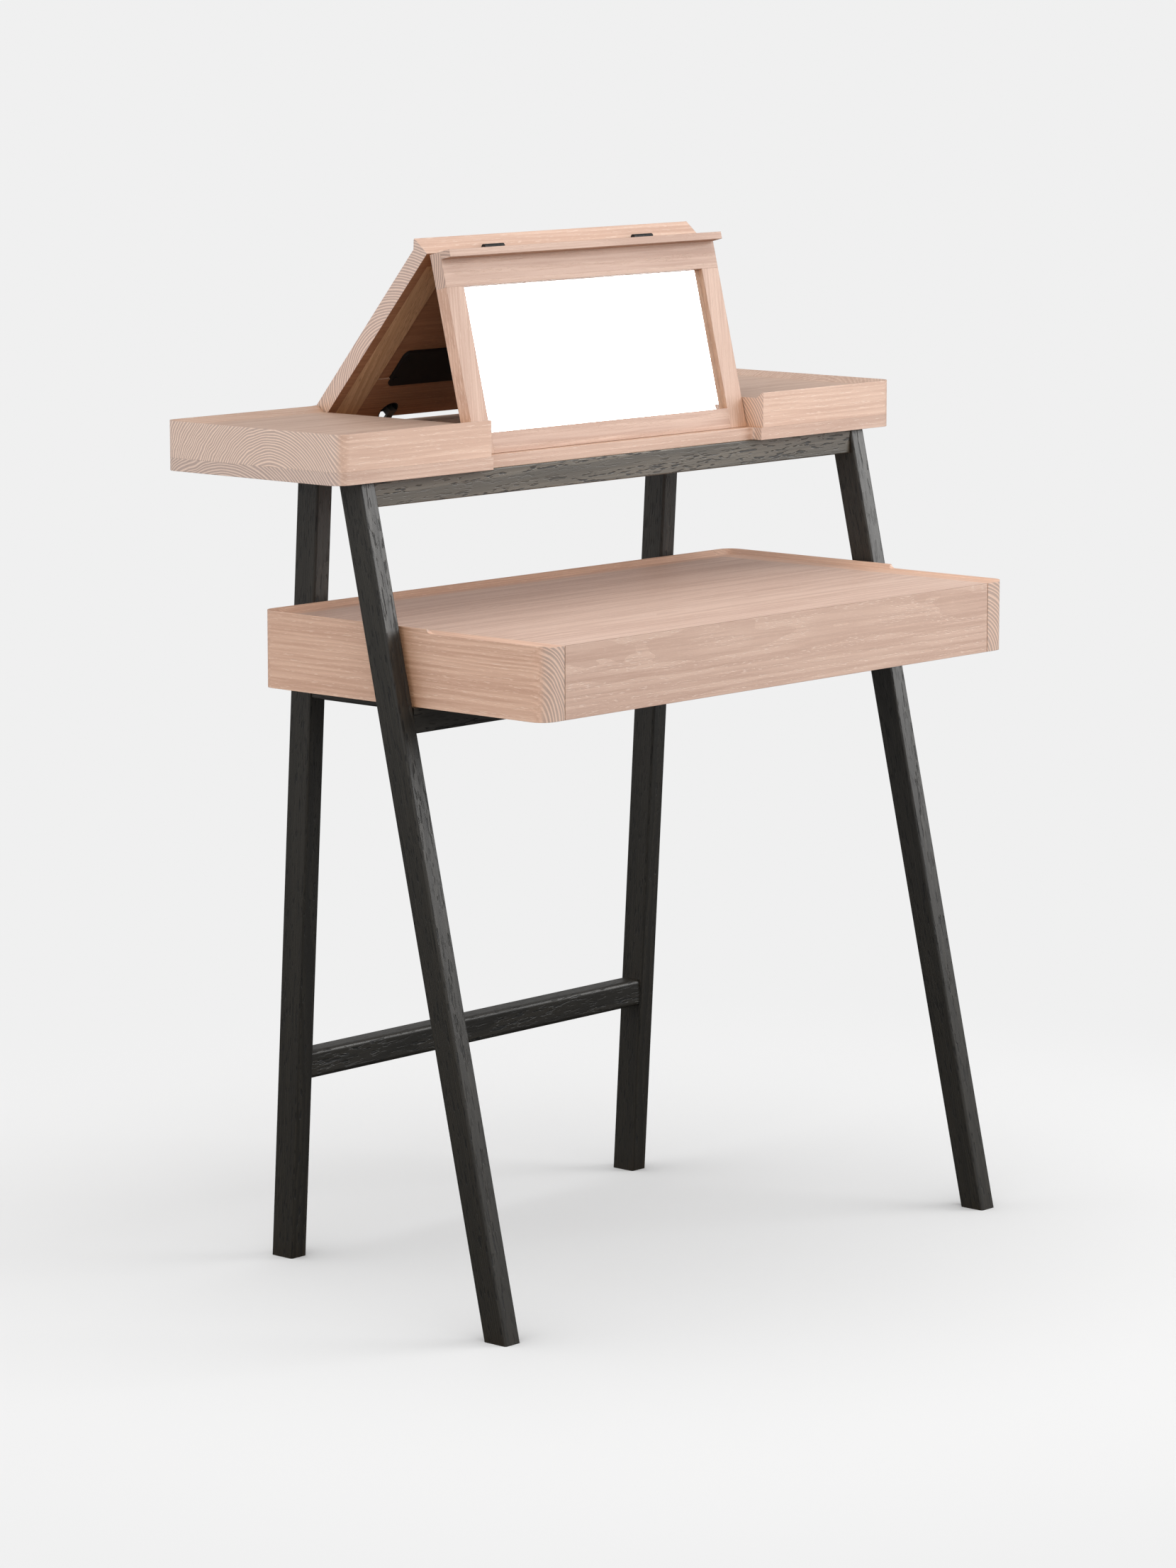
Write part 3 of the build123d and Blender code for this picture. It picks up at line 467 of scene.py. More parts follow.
@dataclass(frozen=True)
class CornerShade:
    """Painted shade: inner corners and gaps are drawn darker and warmer, standing in for shade and warm
    bounced light there.

    Attributes:
        samples: how many rays look for near surfaces.
        openness: how open a place is where the mask fades from 1 to 0.
    """

    samples: int = 4
    openness: Band = (0.2, 0.95)

    def build(self) -> bpy.types.NodeTree:
        """Builds the node group.

        Returns:
            The group, with the mask.
        """
        group = SharedGroup("painted corner shade", {"Reach": ("Float", 0.035)}, {"Mask": "Float"})
        graph = group.graph
        open_sky = graph.add("ShaderNodeAmbientOcclusion", {"samples": self.samples},
                             Distance=group.given["Reach"]).outputs["AO"]
        # Painted shade: the less open a place is, the more of the corner shade it gets.
        return group.close({"Mask": graph.math("SUBTRACT", 1.0, graph.ramp(open_sky, self.openness))})


@dataclass(frozen=True)
class FineSpeckle:
    """Dust and fine tooth on metal, glass and panels.

    Attributes:
        smear: values of the noise between clean and smeared.
        smear_detail: how many finer layers the smears have.
    """

    smear: Band = (0.35, 0.7)
    smear_detail: float = 4.0

    def build(self) -> bpy.types.NodeTree:
        """Builds the node group.

        Returns:
            The group, with the fine tooth and the smears.
        """
        group = SharedGroup(
            "fine speckle",
            {"Grit": ("Float", 1600.0), "Smears": ("Float", 14.0)},
            {"Tooth": "Float", "Smear": "Float"},
        )
        graph, given = group.graph, group.given
        place = graph.add("ShaderNodeTexCoord").outputs["Object"]
        smears = graph.noise(place, given["Smears"], self.smear_detail)
        return group.close({
            "Tooth": graph.noise(place, given["Grit"]),
            "Smear": graph.ramp(smears, self.smear),
        })


@dataclass(frozen=True)
class Effects:
    """The node groups that more than one material uses.

    Attributes:
        figure: the figure of wood.
        edge: eased edges.
        corner: painted shade in inner corners.
        speckle: dust and tooth.
    """

    figure: bpy.types.NodeTree = field(default_factory=LogFigure().build)
    edge: bpy.types.NodeTree = field(default_factory=EasedEdge().build)
    corner: bpy.types.NodeTree = field(default_factory=CornerShade().build)
    speckle: bpy.types.NodeTree = field(default_factory=FineSpeckle().build)


def new_material(name: str) -> tuple[bpy.types.Material, Graph, bpy.types.Node]:
    """An empty material.

    Args:
        name: the material's name.

    Returns:
        The material, its graph and its Principled shader.
    """
    material = bpy.data.materials.new(name)
    material.use_nodes = True
    shader = material.node_tree.nodes["Principled BSDF"]
    return material, Graph(material.node_tree), shader


@dataclass(frozen=True)
class Cut:
    """Where in the log a board came from.

    Attributes:
        pith: how far the log's centre lies across and under the board's centre.
        ring: width of one growth ring.
        waver: how far the rings wander.
    """

    pith: tuple[float, float] = (0.02, -0.09)
    ring: float = 0.0032
    waver: float = 0.02


@dataclass(frozen=True)
class Board:
    """One wooden piece.

    Attributes:
        node: the piece.
        grain: which way its fibres run.
        cut: where in the log it came from.
        tone: brightness and hue of this board against its neighbours.
        upper_shade_tone: painted shade: hue of the side that faces up, or None where the sides are alike.
        under_shade_tone: painted shade: hue of the side that faces down, or None where the sides are alike.
    """

    node: str
    grain: Grain = Grain.LENGTHWISE
    cut: Cut = Cut()
    tone: Colour = (1.0, 1.0, 1.0)
    upper_shade_tone: Colour | None = None
    under_shade_tone: Colour | None = None

    def axes(self) -> Matrix:
        """The board's own axes.

        Returns:
            A turn with the fibres along its first axis and the widest face square to its third.
        """
        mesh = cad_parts[self.node].data
        along = Vector(self.grain.value) if self.grain is not Grain.LENGTHWISE else longest_edge(mesh)
        face = widest_face(mesh, along)
        face = -face if face.z < 0.0 else face
        side = face.cross(along).normalized()
        return Matrix((along, side, along.cross(side))).transposed()


def longest_edge(mesh: bpy.types.Mesh) -> Vector:
    """Direction of the longest edge at which two flat faces meet at an angle.

    Args:
        mesh: the piece's mesh.

    Returns:
        A unit vector.
    """
    work = bmesh.new()
    work.from_mesh(mesh)
    sharp = [e for e in work.edges if len(e.link_faces) == 2 and e.calc_face_angle(0.0) > SHARP_CORNER]
    best = max(sharp or work.edges, key=lambda e: e.calc_length())
    way = (best.verts[1].co - best.verts[0].co).normalized()
    work.free()
    return way if max(way, key=abs) > 0 else -way


def widest_face(mesh: bpy.types.Mesh, along: Vector) -> Vector:
    """Normal of the largest flat side that lies along the fibres.

    Args:
        mesh: the piece's mesh.
        along: direction of the fibres.

    Returns:
        A unit vector square to the fibres.
    """
    areas: dict[tuple[float, ...], float] = defaultdict(float)
    for polygon in mesh.polygons:
        normal = polygon.normal
        if abs(normal.dot(along)) < ALONG_TILT:
            areas[tuple(round(value, NORMAL_DECIMALS) for value in normal)] += polygon.area
    best = Vector(max(areas, key=areas.get)) if areas else along.orthogonal()
    return (best - along * best.dot(along)).normalized()


@dataclass(frozen=True)
class WoodFinish:
    """One species of wood with its surface treatment.

    Attributes:
        title: the finish's name.
        early: colour of the open, early part of a ring.
        late: colour of the dense, late part of a ring.
        pore: colour that shows in the pores.
        sawn_end: colour of end grain.
        edge: colour of eased edges.
        ring_depth: how strongly the rings show.
        fibre_depth: how strongly the fibres show.
        pore_depth: how strongly the pores show.
        end_depth: how strongly end grain differs.
        roughness: of the surface between the pores.
        tooth: how deep the pores feel, in metres.
        edge_depth: how strongly eased edges show.
        sheen: how strongly the surface mirrors light.
        pore_size: 1 for pores under a millimetre wide, and more for coarser ones.
        corner_shade_tone: painted shade: hue that inner corners are drawn with against the open surface.
        STREAKS: values of the fibres' figure between pale and dark.
        PATCHES: values of the patches' figure between dark and pale.
        PATCH_DEPTH: how strongly pale patches show.
        SAWN_RINGS: part of a ring that shows as a line in end grain.
        SIDE_TILT: how squarely a side faces up or down where its own tone begins and is full.
        FIBRE_ROUGHNESS: how much rougher the strongest fibres are.
        PORE_ROUGHNESS: how much rougher the pores are.
        RELIEF: strength of the relief.
        REFRACTION: refractive index of the oiled surface.
    """

    title: str
    early: Colour
    late: Colour
    pore: Colour
    sawn_end: Colour
    edge: Colour
    ring_depth: float
    fibre_depth: float
    pore_depth: float
    end_depth: float
    roughness: float
    tooth: float
    edge_depth: float = 0.35
    sheen: float = 0.5
    pore_size: float = 1.0
    corner_shade_tone: Colour = (0.88, 0.72, 0.54)
    STREAKS: ClassVar[Band] = (0.43, 0.58)
    PATCHES: ClassVar[Band] = (0.35, 0.7)
    PATCH_DEPTH: ClassVar[float] = 0.35
    SAWN_RINGS: ClassVar[Band] = (0.02, 0.4)
    SIDE_TILT: ClassVar[Band] = (0.5, 0.9)
    FIBRE_ROUGHNESS: ClassVar[float] = 0.25
    PORE_ROUGHNESS: ClassVar[float] = 0.15
    RELIEF: ClassVar[float] = 0.6
    REFRACTION: ClassVar[float] = 1.45

    def make(self, board: Board, effects: Effects, seed: int) -> bpy.types.Material:
        """The finish on one board.

        Args:
            board: how the board was cut.
            effects: the shared node groups.
            seed: a number that makes this board's figure its own.

        Returns:
            The material.
        """
        material, graph, shader = new_material(f"{self.title} {board.node}")
        figure = self.lay_figure(graph, board, effects, seed)
        edge = graph.add("ShaderNodeGroup", {"node_tree": effects.edge})
        corner = graph.add("ShaderNodeGroup", {"node_tree": effects.corner})

        pores = graph.math("MULTIPLY", figure.outputs["Pores"], self.pore_depth)
        colour = self.turned_tone(graph, figure, board, self.grained(graph, figure, pores))
        # Painted shade: inner corners are drawn darker and warmer, where shade and warm bounced light fall.
        colour = graph.blend(corner.outputs["Mask"], colour, graph.tinted(colour, self.corner_shade_tone))
        worn = graph.math("MULTIPLY", edge.outputs["Mask"], self.edge_depth)
        graph.feed(shader.inputs["Base Color"], graph.blend(worn, colour, self.edge))

        fibres = graph.math("SUBTRACT", figure.outputs["Fibres"], NOISE_MEAN)
        rough = graph.math("MULTIPLY", fibres, self.FIBRE_ROUGHNESS)
        rough = graph.math("ADD", rough, graph.math("MULTIPLY", pores, self.PORE_ROUGHNESS))
        graph.feed(shader.inputs["Roughness"], graph.math("ADD", rough, self.roughness))
        shader.inputs["Specular IOR Level"].default_value = self.sheen
        shader.inputs["IOR"].default_value = self.REFRACTION
        relief = graph.add("ShaderNodeBump", Strength=self.RELIEF, Distance=self.tooth,
                           Height=figure.outputs["Height"], Normal=edge.outputs["Normal"])
        graph.feed(shader.inputs["Normal"], relief.outputs[0])
        return material

    def lay_figure(self, graph: Graph, board: Board, effects: Effects, seed: int) -> bpy.types.Node:
        """Places the log's figure in a board.

        Args:
            graph: the material's nodes.
            board: how the board was cut.
            effects: the shared node groups.
            seed: a number that makes this board's figure its own.

        Returns:
            The node with the figure's masks and height.
        """
        low, high = (Vector(corner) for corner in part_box(board.node))
        figure = graph.add("ShaderNodeGroup", {"node_tree": effects.figure})
        values = {
            "Centre": (low + high) / 2,
            "Turn": board.axes().to_euler("XYZ"),
            "Pith": (0.0, *board.cut.pith),
            "Ring Width": board.cut.ring,
            "Waver": board.cut.waver,
            "Pore Size": self.pore_size,
            "Seed": float(seed),
        }
        for name, value in values.items():
            graph.feed(figure.inputs[name], value)
        return figure

    def grained(self, graph: Graph, figure: bpy.types.Node, pores: Socket) -> Socket:
        """Colour of long grain and end grain.

        Args:
            graph: the material's nodes.
            figure: the figure's node.
            pores: how strongly the pores show.

        Returns:
            The colour's socket.
        """
        rings = graph.math("MULTIPLY", figure.outputs["Rings"], self.ring_depth)
        colour = graph.blend(rings, self.early, self.late)
        streaks = graph.ramp(figure.outputs["Fibres"], self.STREAKS)
        colour = graph.blend(graph.math("MULTIPLY", streaks, self.fibre_depth), colour, self.late)
        patches = graph.ramp(figure.outputs["Patches"], self.PATCHES)
        colour = graph.blend(graph.math("MULTIPLY", patches, self.PATCH_DEPTH), colour, self.early)
        colour = graph.blend(pores, colour, self.pore)
        ends = graph.math("MULTIPLY", figure.outputs["End Grain"], self.end_depth)
        sawn = graph.blend(graph.ramp(figure.outputs["Rings"], self.SAWN_RINGS), self.pore, self.sawn_end)
        return graph.blend(ends, colour, sawn)

    def turned_tone(self, graph: Graph, figure: bpy.types.Node, board: Board, colour: Socket) -> Socket:
        """Gives a board its own tone, and its upper or under side a painted shade.

        Args:
            graph: the material's nodes.
            figure: the figure's node.
            board: the board with its tones.
            colour: the wood's colour.

        Returns:
            The toned colour's socket.
        """
        colour = graph.tinted(colour, board.tone)
        # Painted shade: the side that faces up or down is drawn in a darker tone, for how light falls on
        # it.
        for way, tone in ((1.0, board.upper_shade_tone), (-1.0, board.under_shade_tone)):
            if tone is not None:
                facing = graph.math("MULTIPLY", figure.outputs["Facing"], way)
                colour = graph.blend(graph.ramp(facing, self.SIDE_TILT), colour, graph.tinted(colour, tone))
        return colour


@dataclass(frozen=True)
class PlainFinish:
    """Metal, glass or sheet material.

    Attributes:
        title: the finish's name.
        colour: of the clean surface.
        worn: colour along eased edges.
        metallic: 1 for bare metal, 0 for paint.
        roughness: of the clean surface.
        smear: how much rougher hands and dust make it.
        tooth: depth of its fine texture, in metres.
        edge_depth: how strongly eased edges show.
        sheen: how strongly a painted surface mirrors light.
        EDGE_RADIUS: how far edges are rounded.
        EDGE_BREAKS: gaps per metre in the wear along an edge.
        RELIEF: strength of the relief.
    """

    title: str
    colour: Colour
    worn: Colour
    metallic: float
    roughness: float
    smear: float
    tooth: float
    edge_depth: float = 0.5
    sheen: float = 0.5
    EDGE_RADIUS: ClassVar[float] = 0.0004
    EDGE_BREAKS: ClassVar[float] = 400.0
    RELIEF: ClassVar[float] = 0.4

    def make(self, node: str, effects: Effects) -> bpy.types.Material:
        """The finish on one piece.

        Args:
            node: the piece.
            effects: the shared node groups.

        Returns:
            The material.
        """
        material, graph, shader = new_material(f"{self.title} {node}")
        speckle = graph.add("ShaderNodeGroup", {"node_tree": effects.speckle})
        edge = graph.add("ShaderNodeGroup", {"node_tree": effects.edge},
                         Radius=self.EDGE_RADIUS, Breaks=self.EDGE_BREAKS)
        dusty = graph.math("MULTIPLY", speckle.outputs["Smear"], self.smear)
        colour = graph.blend(dusty, self.colour, self.worn)
        worn = graph.math("MULTIPLY", edge.outputs["Mask"], self.edge_depth)
        graph.feed(shader.inputs["Base Color"], graph.blend(worn, colour, self.worn))
        shader.inputs["Metallic"].default_value = self.metallic
        shader.inputs["Specular IOR Level"].default_value = self.sheen
        graph.feed(shader.inputs["Roughness"], graph.math("ADD", dusty, self.roughness))
        relief = graph.add("ShaderNodeBump", Strength=self.RELIEF, Distance=self.tooth,
                           Height=speckle.outputs["Tooth"], Normal=edge.outputs["Normal"])
        graph.feed(shader.inputs["Normal"], relief.outputs[0])
        return material


OAK = WoodFinish(
    "whitened oak", early=(0.72, 0.505, 0.395), late=(0.51, 0.315, 0.235), pore=(0.80, 0.62, 0.52),
    sawn_end=(0.47, 0.365, 0.325), edge=(0.80, 0.61, 0.49), ring_depth=0.42, fibre_depth=0.6,
    pore_depth=0.6, end_depth=0.8, roughness=0.52, tooth=0.0002,
)
OILED_OAK = WoodFinish(
    "oiled oak", early=(0.70, 0.44, 0.25), late=(0.46, 0.255, 0.13), pore=(0.30, 0.16, 0.08),
    sawn_end=(0.24, 0.14, 0.08), edge=(0.50, 0.31, 0.19), ring_depth=0.6, fibre_depth=0.6,
    pore_depth=0.5, end_depth=0.5, roughness=0.42, tooth=0.0002,
)
BLACK_ASH = WoodFinish(
    "black ash", early=(0.030, 0.026, 0.020), late=(0.010, 0.009, 0.0072), pore=(0.004, 0.004, 0.004),
    sawn_end=(0.010, 0.010, 0.009), edge=(0.070, 0.067, 0.060), ring_depth=0.7, fibre_depth=0.5,
    pore_depth=0.9, end_depth=0.6, roughness=0.42, tooth=0.0007, edge_depth=0.6, sheen=0.4, pore_size=1.7,
)
BEECH = WoodFinish(
    "beech", early=(0.62, 0.42, 0.27), late=(0.52, 0.33, 0.20), pore=(0.38, 0.22, 0.12),
    sawn_end=(0.42, 0.27, 0.16), edge=(0.68, 0.48, 0.33), ring_depth=0.4, fibre_depth=0.5,
    pore_depth=0.5, end_depth=0.5, roughness=0.55, tooth=0.0001,
)
BLACK_PAINT = PlainFinish(
    "black hinge paint", colour=(0.008, 0.008, 0.008), worn=(0.035, 0.034, 0.032), metallic=0.0,
    roughness=0.5, smear=0.12, tooth=0.00004, sheen=0.22,
)
ZINC = PlainFinish(
    "zinc plate", colour=(0.62, 0.62, 0.61), worn=(0.80, 0.80, 0.79), metallic=1.0,
    roughness=0.28, smear=0.18, tooth=0.00003,
)
DULL_STEEL = PlainFinish(
    "dull steel", colour=(0.16, 0.16, 0.155), worn=(0.55, 0.55, 0.54), metallic=1.0,
    roughness=0.42, smear=0.15, tooth=0.00003,
)
SILVERED_GLASS = PlainFinish(
    "silvered glass", colour=(0.93, 0.94, 0.94), worn=(0.70, 0.78, 0.76), metallic=1.0,
    roughness=0.015, smear=0.02, tooth=0.0, edge_depth=0.8,
)
BACK_SHEET = PlainFinish(
    "mirror back sheet", colour=(0.05, 0.048, 0.046), worn=(0.12, 0.115, 0.11), metallic=0.0,
    roughness=0.6, smear=0.15, tooth=0.00008,
)


def finish_piece(node: str, material: bpy.types.Material) -> None:
    """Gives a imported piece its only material.

    Args:
        node: the piece.
        material: its finish.
    """
    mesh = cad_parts[node].data
    mesh.materials.clear()
    mesh.materials.append(material)
    LOG.info("%s: %s", node, material.name)


@dataclass
class SubAssembly(ABC):
    """A group of pieces that is made and finished together.

    Attributes:
        effects: the shared node groups.
        first_seed: the number before that of its first board's figure.
    """

    effects: Effects
    first_seed: int = 0

    @abstractmethod
    def dress(self) -> None:
        """Finishes every piece of the sub-assembly."""

    def lay_boards(self, finish: WoodFinish, boards: list[Board]) -> None:
        """Finishes wooden pieces, each with its own figure.

        Args:
            finish: the wood.
            boards: how each piece was cut.
        """
        for step, board in enumerate(boards, start=1):
            finish_piece(board.node, finish.make(board, self.effects, self.first_seed + step))

    def fit_hardware(self, finish: PlainFinish, nodes: list[str]) -> None:
        """Finishes metal, glass or sheet pieces.

        Args:
            finish: the material they are made of.
            nodes: the pieces.
        """
        for node in nodes:
            finish_piece(node, finish.make(node, self.effects))


@dataclass
class LegFrame(SubAssembly):
    """The leaning black legs with their rails, stretcher, dowels and screws.

    Attributes:
        leg_cut: legs, with straight lines on their wide sides.
        rail_cut: rails and stretcher.
        front_cut: the rail under the shelf that shows from the front, with broad figure.
        front_tone: painted light: how much paler that rail is drawn than the legs, standing in for the
            light on its front face.
        dowel_cut: dowels.
    """

    leg_cut: Cut = Cut((0.16, 0.03), 0.0026, 0.03)
    rail_cut: Cut = Cut((0.01, -0.14), 0.0026, 0.03)
    front_cut: Cut = Cut((0.01, -0.05), 0.006, 0.01)
    # Painted light: the front rail's lit look is drawn into its colour.
    front_tone: Colour = (4.6, 4.6, 4.7)
    dowel_cut: Cut = Cut(waver=0.005)

    def dress(self) -> None:
        """Finishes every piece of the leg frame."""
        legs = [f"{row}_leg_{side}" for row in ("front", "rear") for side in SIDES]
        rails = ["shelf_rail_rear", "desk_rail_front", "low_stretcher"]
        self.lay_boards(BLACK_ASH, [
            *(Board(leg, cut=self.leg_cut) for leg in legs),
            *(Board(rail, cut=self.rail_cut) for rail in rails),
            # Painted light: the front rail is drawn paler, standing in for the light on its front face.
            Board("shelf_rail_front", cut=self.front_cut, tone=self.front_tone),
            *(Board(f"desk_rail_{side}", cut=self.rail_cut) for side in SIDES),
        ])
        self.lay_boards(BEECH, [Board("leg_dowels", Grain.ACROSS_DESK, self.dowel_cut)])
        self.fit_hardware(ZINC, ["shelf_screws", "desk_screws"])


@dataclass
class DeskBox(SubAssembly):
    """The raised rim, the writing surface and the bottom, with the drawer's runners.

    Attributes:
        left_cut: left side of the rim.
        right_cut: right side of the rim, with the rings' arch in its end grain.
        rear_cut: back of the rim.
        rim_tone: warmer than the writing surface.
        top_cut: writing surface.
        top_tone: cooler than the rim.
        bottom_cut: bottom panel.
    """

    left_cut: Cut = Cut((-0.05, -0.06), 0.0042, 0.012)
    right_cut: Cut = Cut((0.05, 0.04), 0.0042, 0.012)
    rear_cut: Cut = Cut((0.03, -0.12))
    rim_tone: Colour = (1.08, 1.01, 0.95)
    top_cut: Cut = Cut((-0.10, -0.11), waver=0.03)
    top_tone: Colour = (1.0, 1.03, 1.07)
    bottom_cut: Cut = Cut((0.05, -0.2))

    def dress(self) -> None:
        """Finishes the fixed pieces of the desk box."""
        cuts = (self.left_cut, self.right_cut)
        self.lay_boards(OAK, [
            *(Board(f"desk_side_{side}", Grain.FRONT_TO_BACK, cut, self.rim_tone)
              for side, cut in zip(SIDES, cuts)),
            Board("desk_rear", Grain.ACROSS_DESK, self.rear_cut, self.rim_tone),
            Board("desktop", Grain.ACROSS_DESK, self.top_cut, self.top_tone),
            Board("desk_bottom", Grain.ACROSS_DESK, self.bottom_cut),
        ])
        self.lay_boards(BEECH, [Board(f"runner_{side}", Grain.FRONT_TO_BACK) for side in SIDES])


@dataclass
class Drawer(SubAssembly):
    """The wide drawer behind the desk's front.

    Attributes:
        front_cut: the board that shows.
        front_tone: a little paler than the desk.
    """

    front_cut: Cut = Cut((0.02, -0.10), waver=0.035)
    front_tone: Colour = (1.06, 1.05, 1.05)

    def dress(self) -> None:
        """Finishes the drawer."""
        self.lay_boards(OAK, [
            Board("drawer_front", Grain.ACROSS_DESK, self.front_cut, self.front_tone),
            *(Board(f"drawer_side_{side}", Grain.FRONT_TO_BACK) for side in SIDES),
            *(Board(node, Grain.ACROSS_DESK) for node in ("drawer_back", "drawer_bottom")),
        ])


@dataclass
class TrayShelf(SubAssembly):
    """The raised shelf: its board, the two hollowed blocks and the rail behind the lid.

    Attributes:
        block_cut: the hollowed blocks.
        block_tone: paler than the desk.
        upper_side_shade: painted shade: how much darker the blocks' upper side and the trays' floor are
            drawn.
        board_cut: the board under the blocks.
        rail_cut: the rail behind the lid.
    """

    block_cut: Cut = Cut((-0.035, -0.06), 0.0031, 0.022)
    block_tone: Colour = (1.13, 1.12, 1.10)
    upper_side_shade: Colour = (0.62, 0.63, 0.64)
    board_cut: Cut = Cut((0.04, -0.12))
    rail_cut: Cut = Cut((0.04, -0.10))

    def dress(self) -> None:
        """Finishes the shelf and the fixed half of its hinges."""
        self.lay_boards(OAK, [
            # Painted shade: the blocks' upper side and the trays' recessed floor are drawn darker.
            *(Board(f"tray_block_{side}", Grain.ACROSS_DESK, self.block_cut, self.block_tone,
                    upper_shade_tone=self.upper_side_shade) for side in SIDES),
            Board("shelf_board", Grain.ACROSS_DESK, self.board_cut),
            Board("hinge_rail", Grain.ACROSS_DESK, self.rail_cut),
        ])
        self.fit_hardware(BLACK_PAINT, ["flap_hinge_brackets"])
        self.fit_hardware(DULL_STEEL, ["flap_hinge_pins"])


@dataclass
class Lid(SubAssembly):
    """The propped lid with its battens, plate and hinges.

    Attributes:
        board_cut: the lid's board.
        shaded_underside: painted shade: tone of its underside, drawn darker and warmer as it lies in shade.
    """

    board_cut: Cut = Cut((0.02, -0.07))
    shaded_underside: Colour = (0.58, 0.40, 0.26)

    def dress(self) -> None:
        """Finishes the lid."""
        # Painted shade: the board's underside is drawn darker and warmer.
        board = Board("lid_board", Grain.ACROSS_DESK, self.board_cut, under_shade_tone=self.shaded_underside)
        self.lay_boards(OAK, [board])
        self.lay_boards(OILED_OAK, [Board(f"lid_batten_{side}") for side in SIDES])
        black = ["lid_plate", "plate_screws", "flap_hinge_cups", "butt_hinge_lid_leaves", "butt_hinge_pins"]
        self.fit_hardware(BLACK_PAINT, black)
        self.fit_hardware(DULL_STEEL, ["flap_hinge_arms"])


@dataclass
class Mirror(SubAssembly):
    """The framed mirror that folds out and props the lid.

    Attributes:
        rail_cut: top and bottom rail and ledge.
        rail_tone: darker than the lid.
        stile_cut: the two upright sides.
        stile_tone: between rails and lid.
    """

    rail_cut: Cut = Cut((0.02, -0.08))
    rail_tone: Colour = (0.86, 0.81, 0.78)
    stile_cut: Cut = Cut((0.06, -0.05))
    stile_tone: Colour = (0.93, 0.89, 0.86)

    def dress(self) -> None:
        """Finishes the mirror."""
        rails = ("mirror_top_rail", "mirror_bottom_rail", "mirror_ledge")
        self.lay_boards(OAK, [
            *(Board(rail, Grain.ACROSS_DESK, self.rail_cut, self.rail_tone) for rail in rails),
            *(Board(f"mirror_stile_{side}", cut=self.stile_cut, tone=self.stile_tone) for side in SIDES),
        ])
        self.fit_hardware(SILVERED_GLASS, ["mirror_glass"])
        self.fit_hardware(BACK_SHEET, ["mirror_back"])
        self.fit_hardware(BLACK_PAINT, ["butt_hinge_mirror_leaves"])


@dataclass(frozen=True)
class SoftBox:
    """A square lamp with a soft front.

    Attributes:
        name: the lamp's name.
        place: where it hangs.
        size: its side.
        power: in watts.
        gloss_only: whether it shows only as a sheen.
        spread: angle over which it throws its light, in degrees.
    """

    name: str
    place: Point
    size: float
    power: float
    gloss_only: bool = False
    spread: float = 110.0

    def hang(self, aim: Point) -> None:
        """Hangs the lamp.

        Args:
            aim: the point that it is turned to.
        """
        data = bpy.data.lights.new(self.name, "AREA")
        data.size = self.size
        data.energy = self.power
        data.spread = math.radians(self.spread)
        lamp = bpy.data.objects.new(self.name, data)
        lamp.location = self.place
        lamp.rotation_euler = (Vector(aim) - Vector(self.place)).to_track_quat("-Z", "Y").to_euler()
        lamp.visible_camera = False
        lamp.visible_diffuse = not self.gloss_only
        bpy.context.scene.collection.objects.link(lamp)


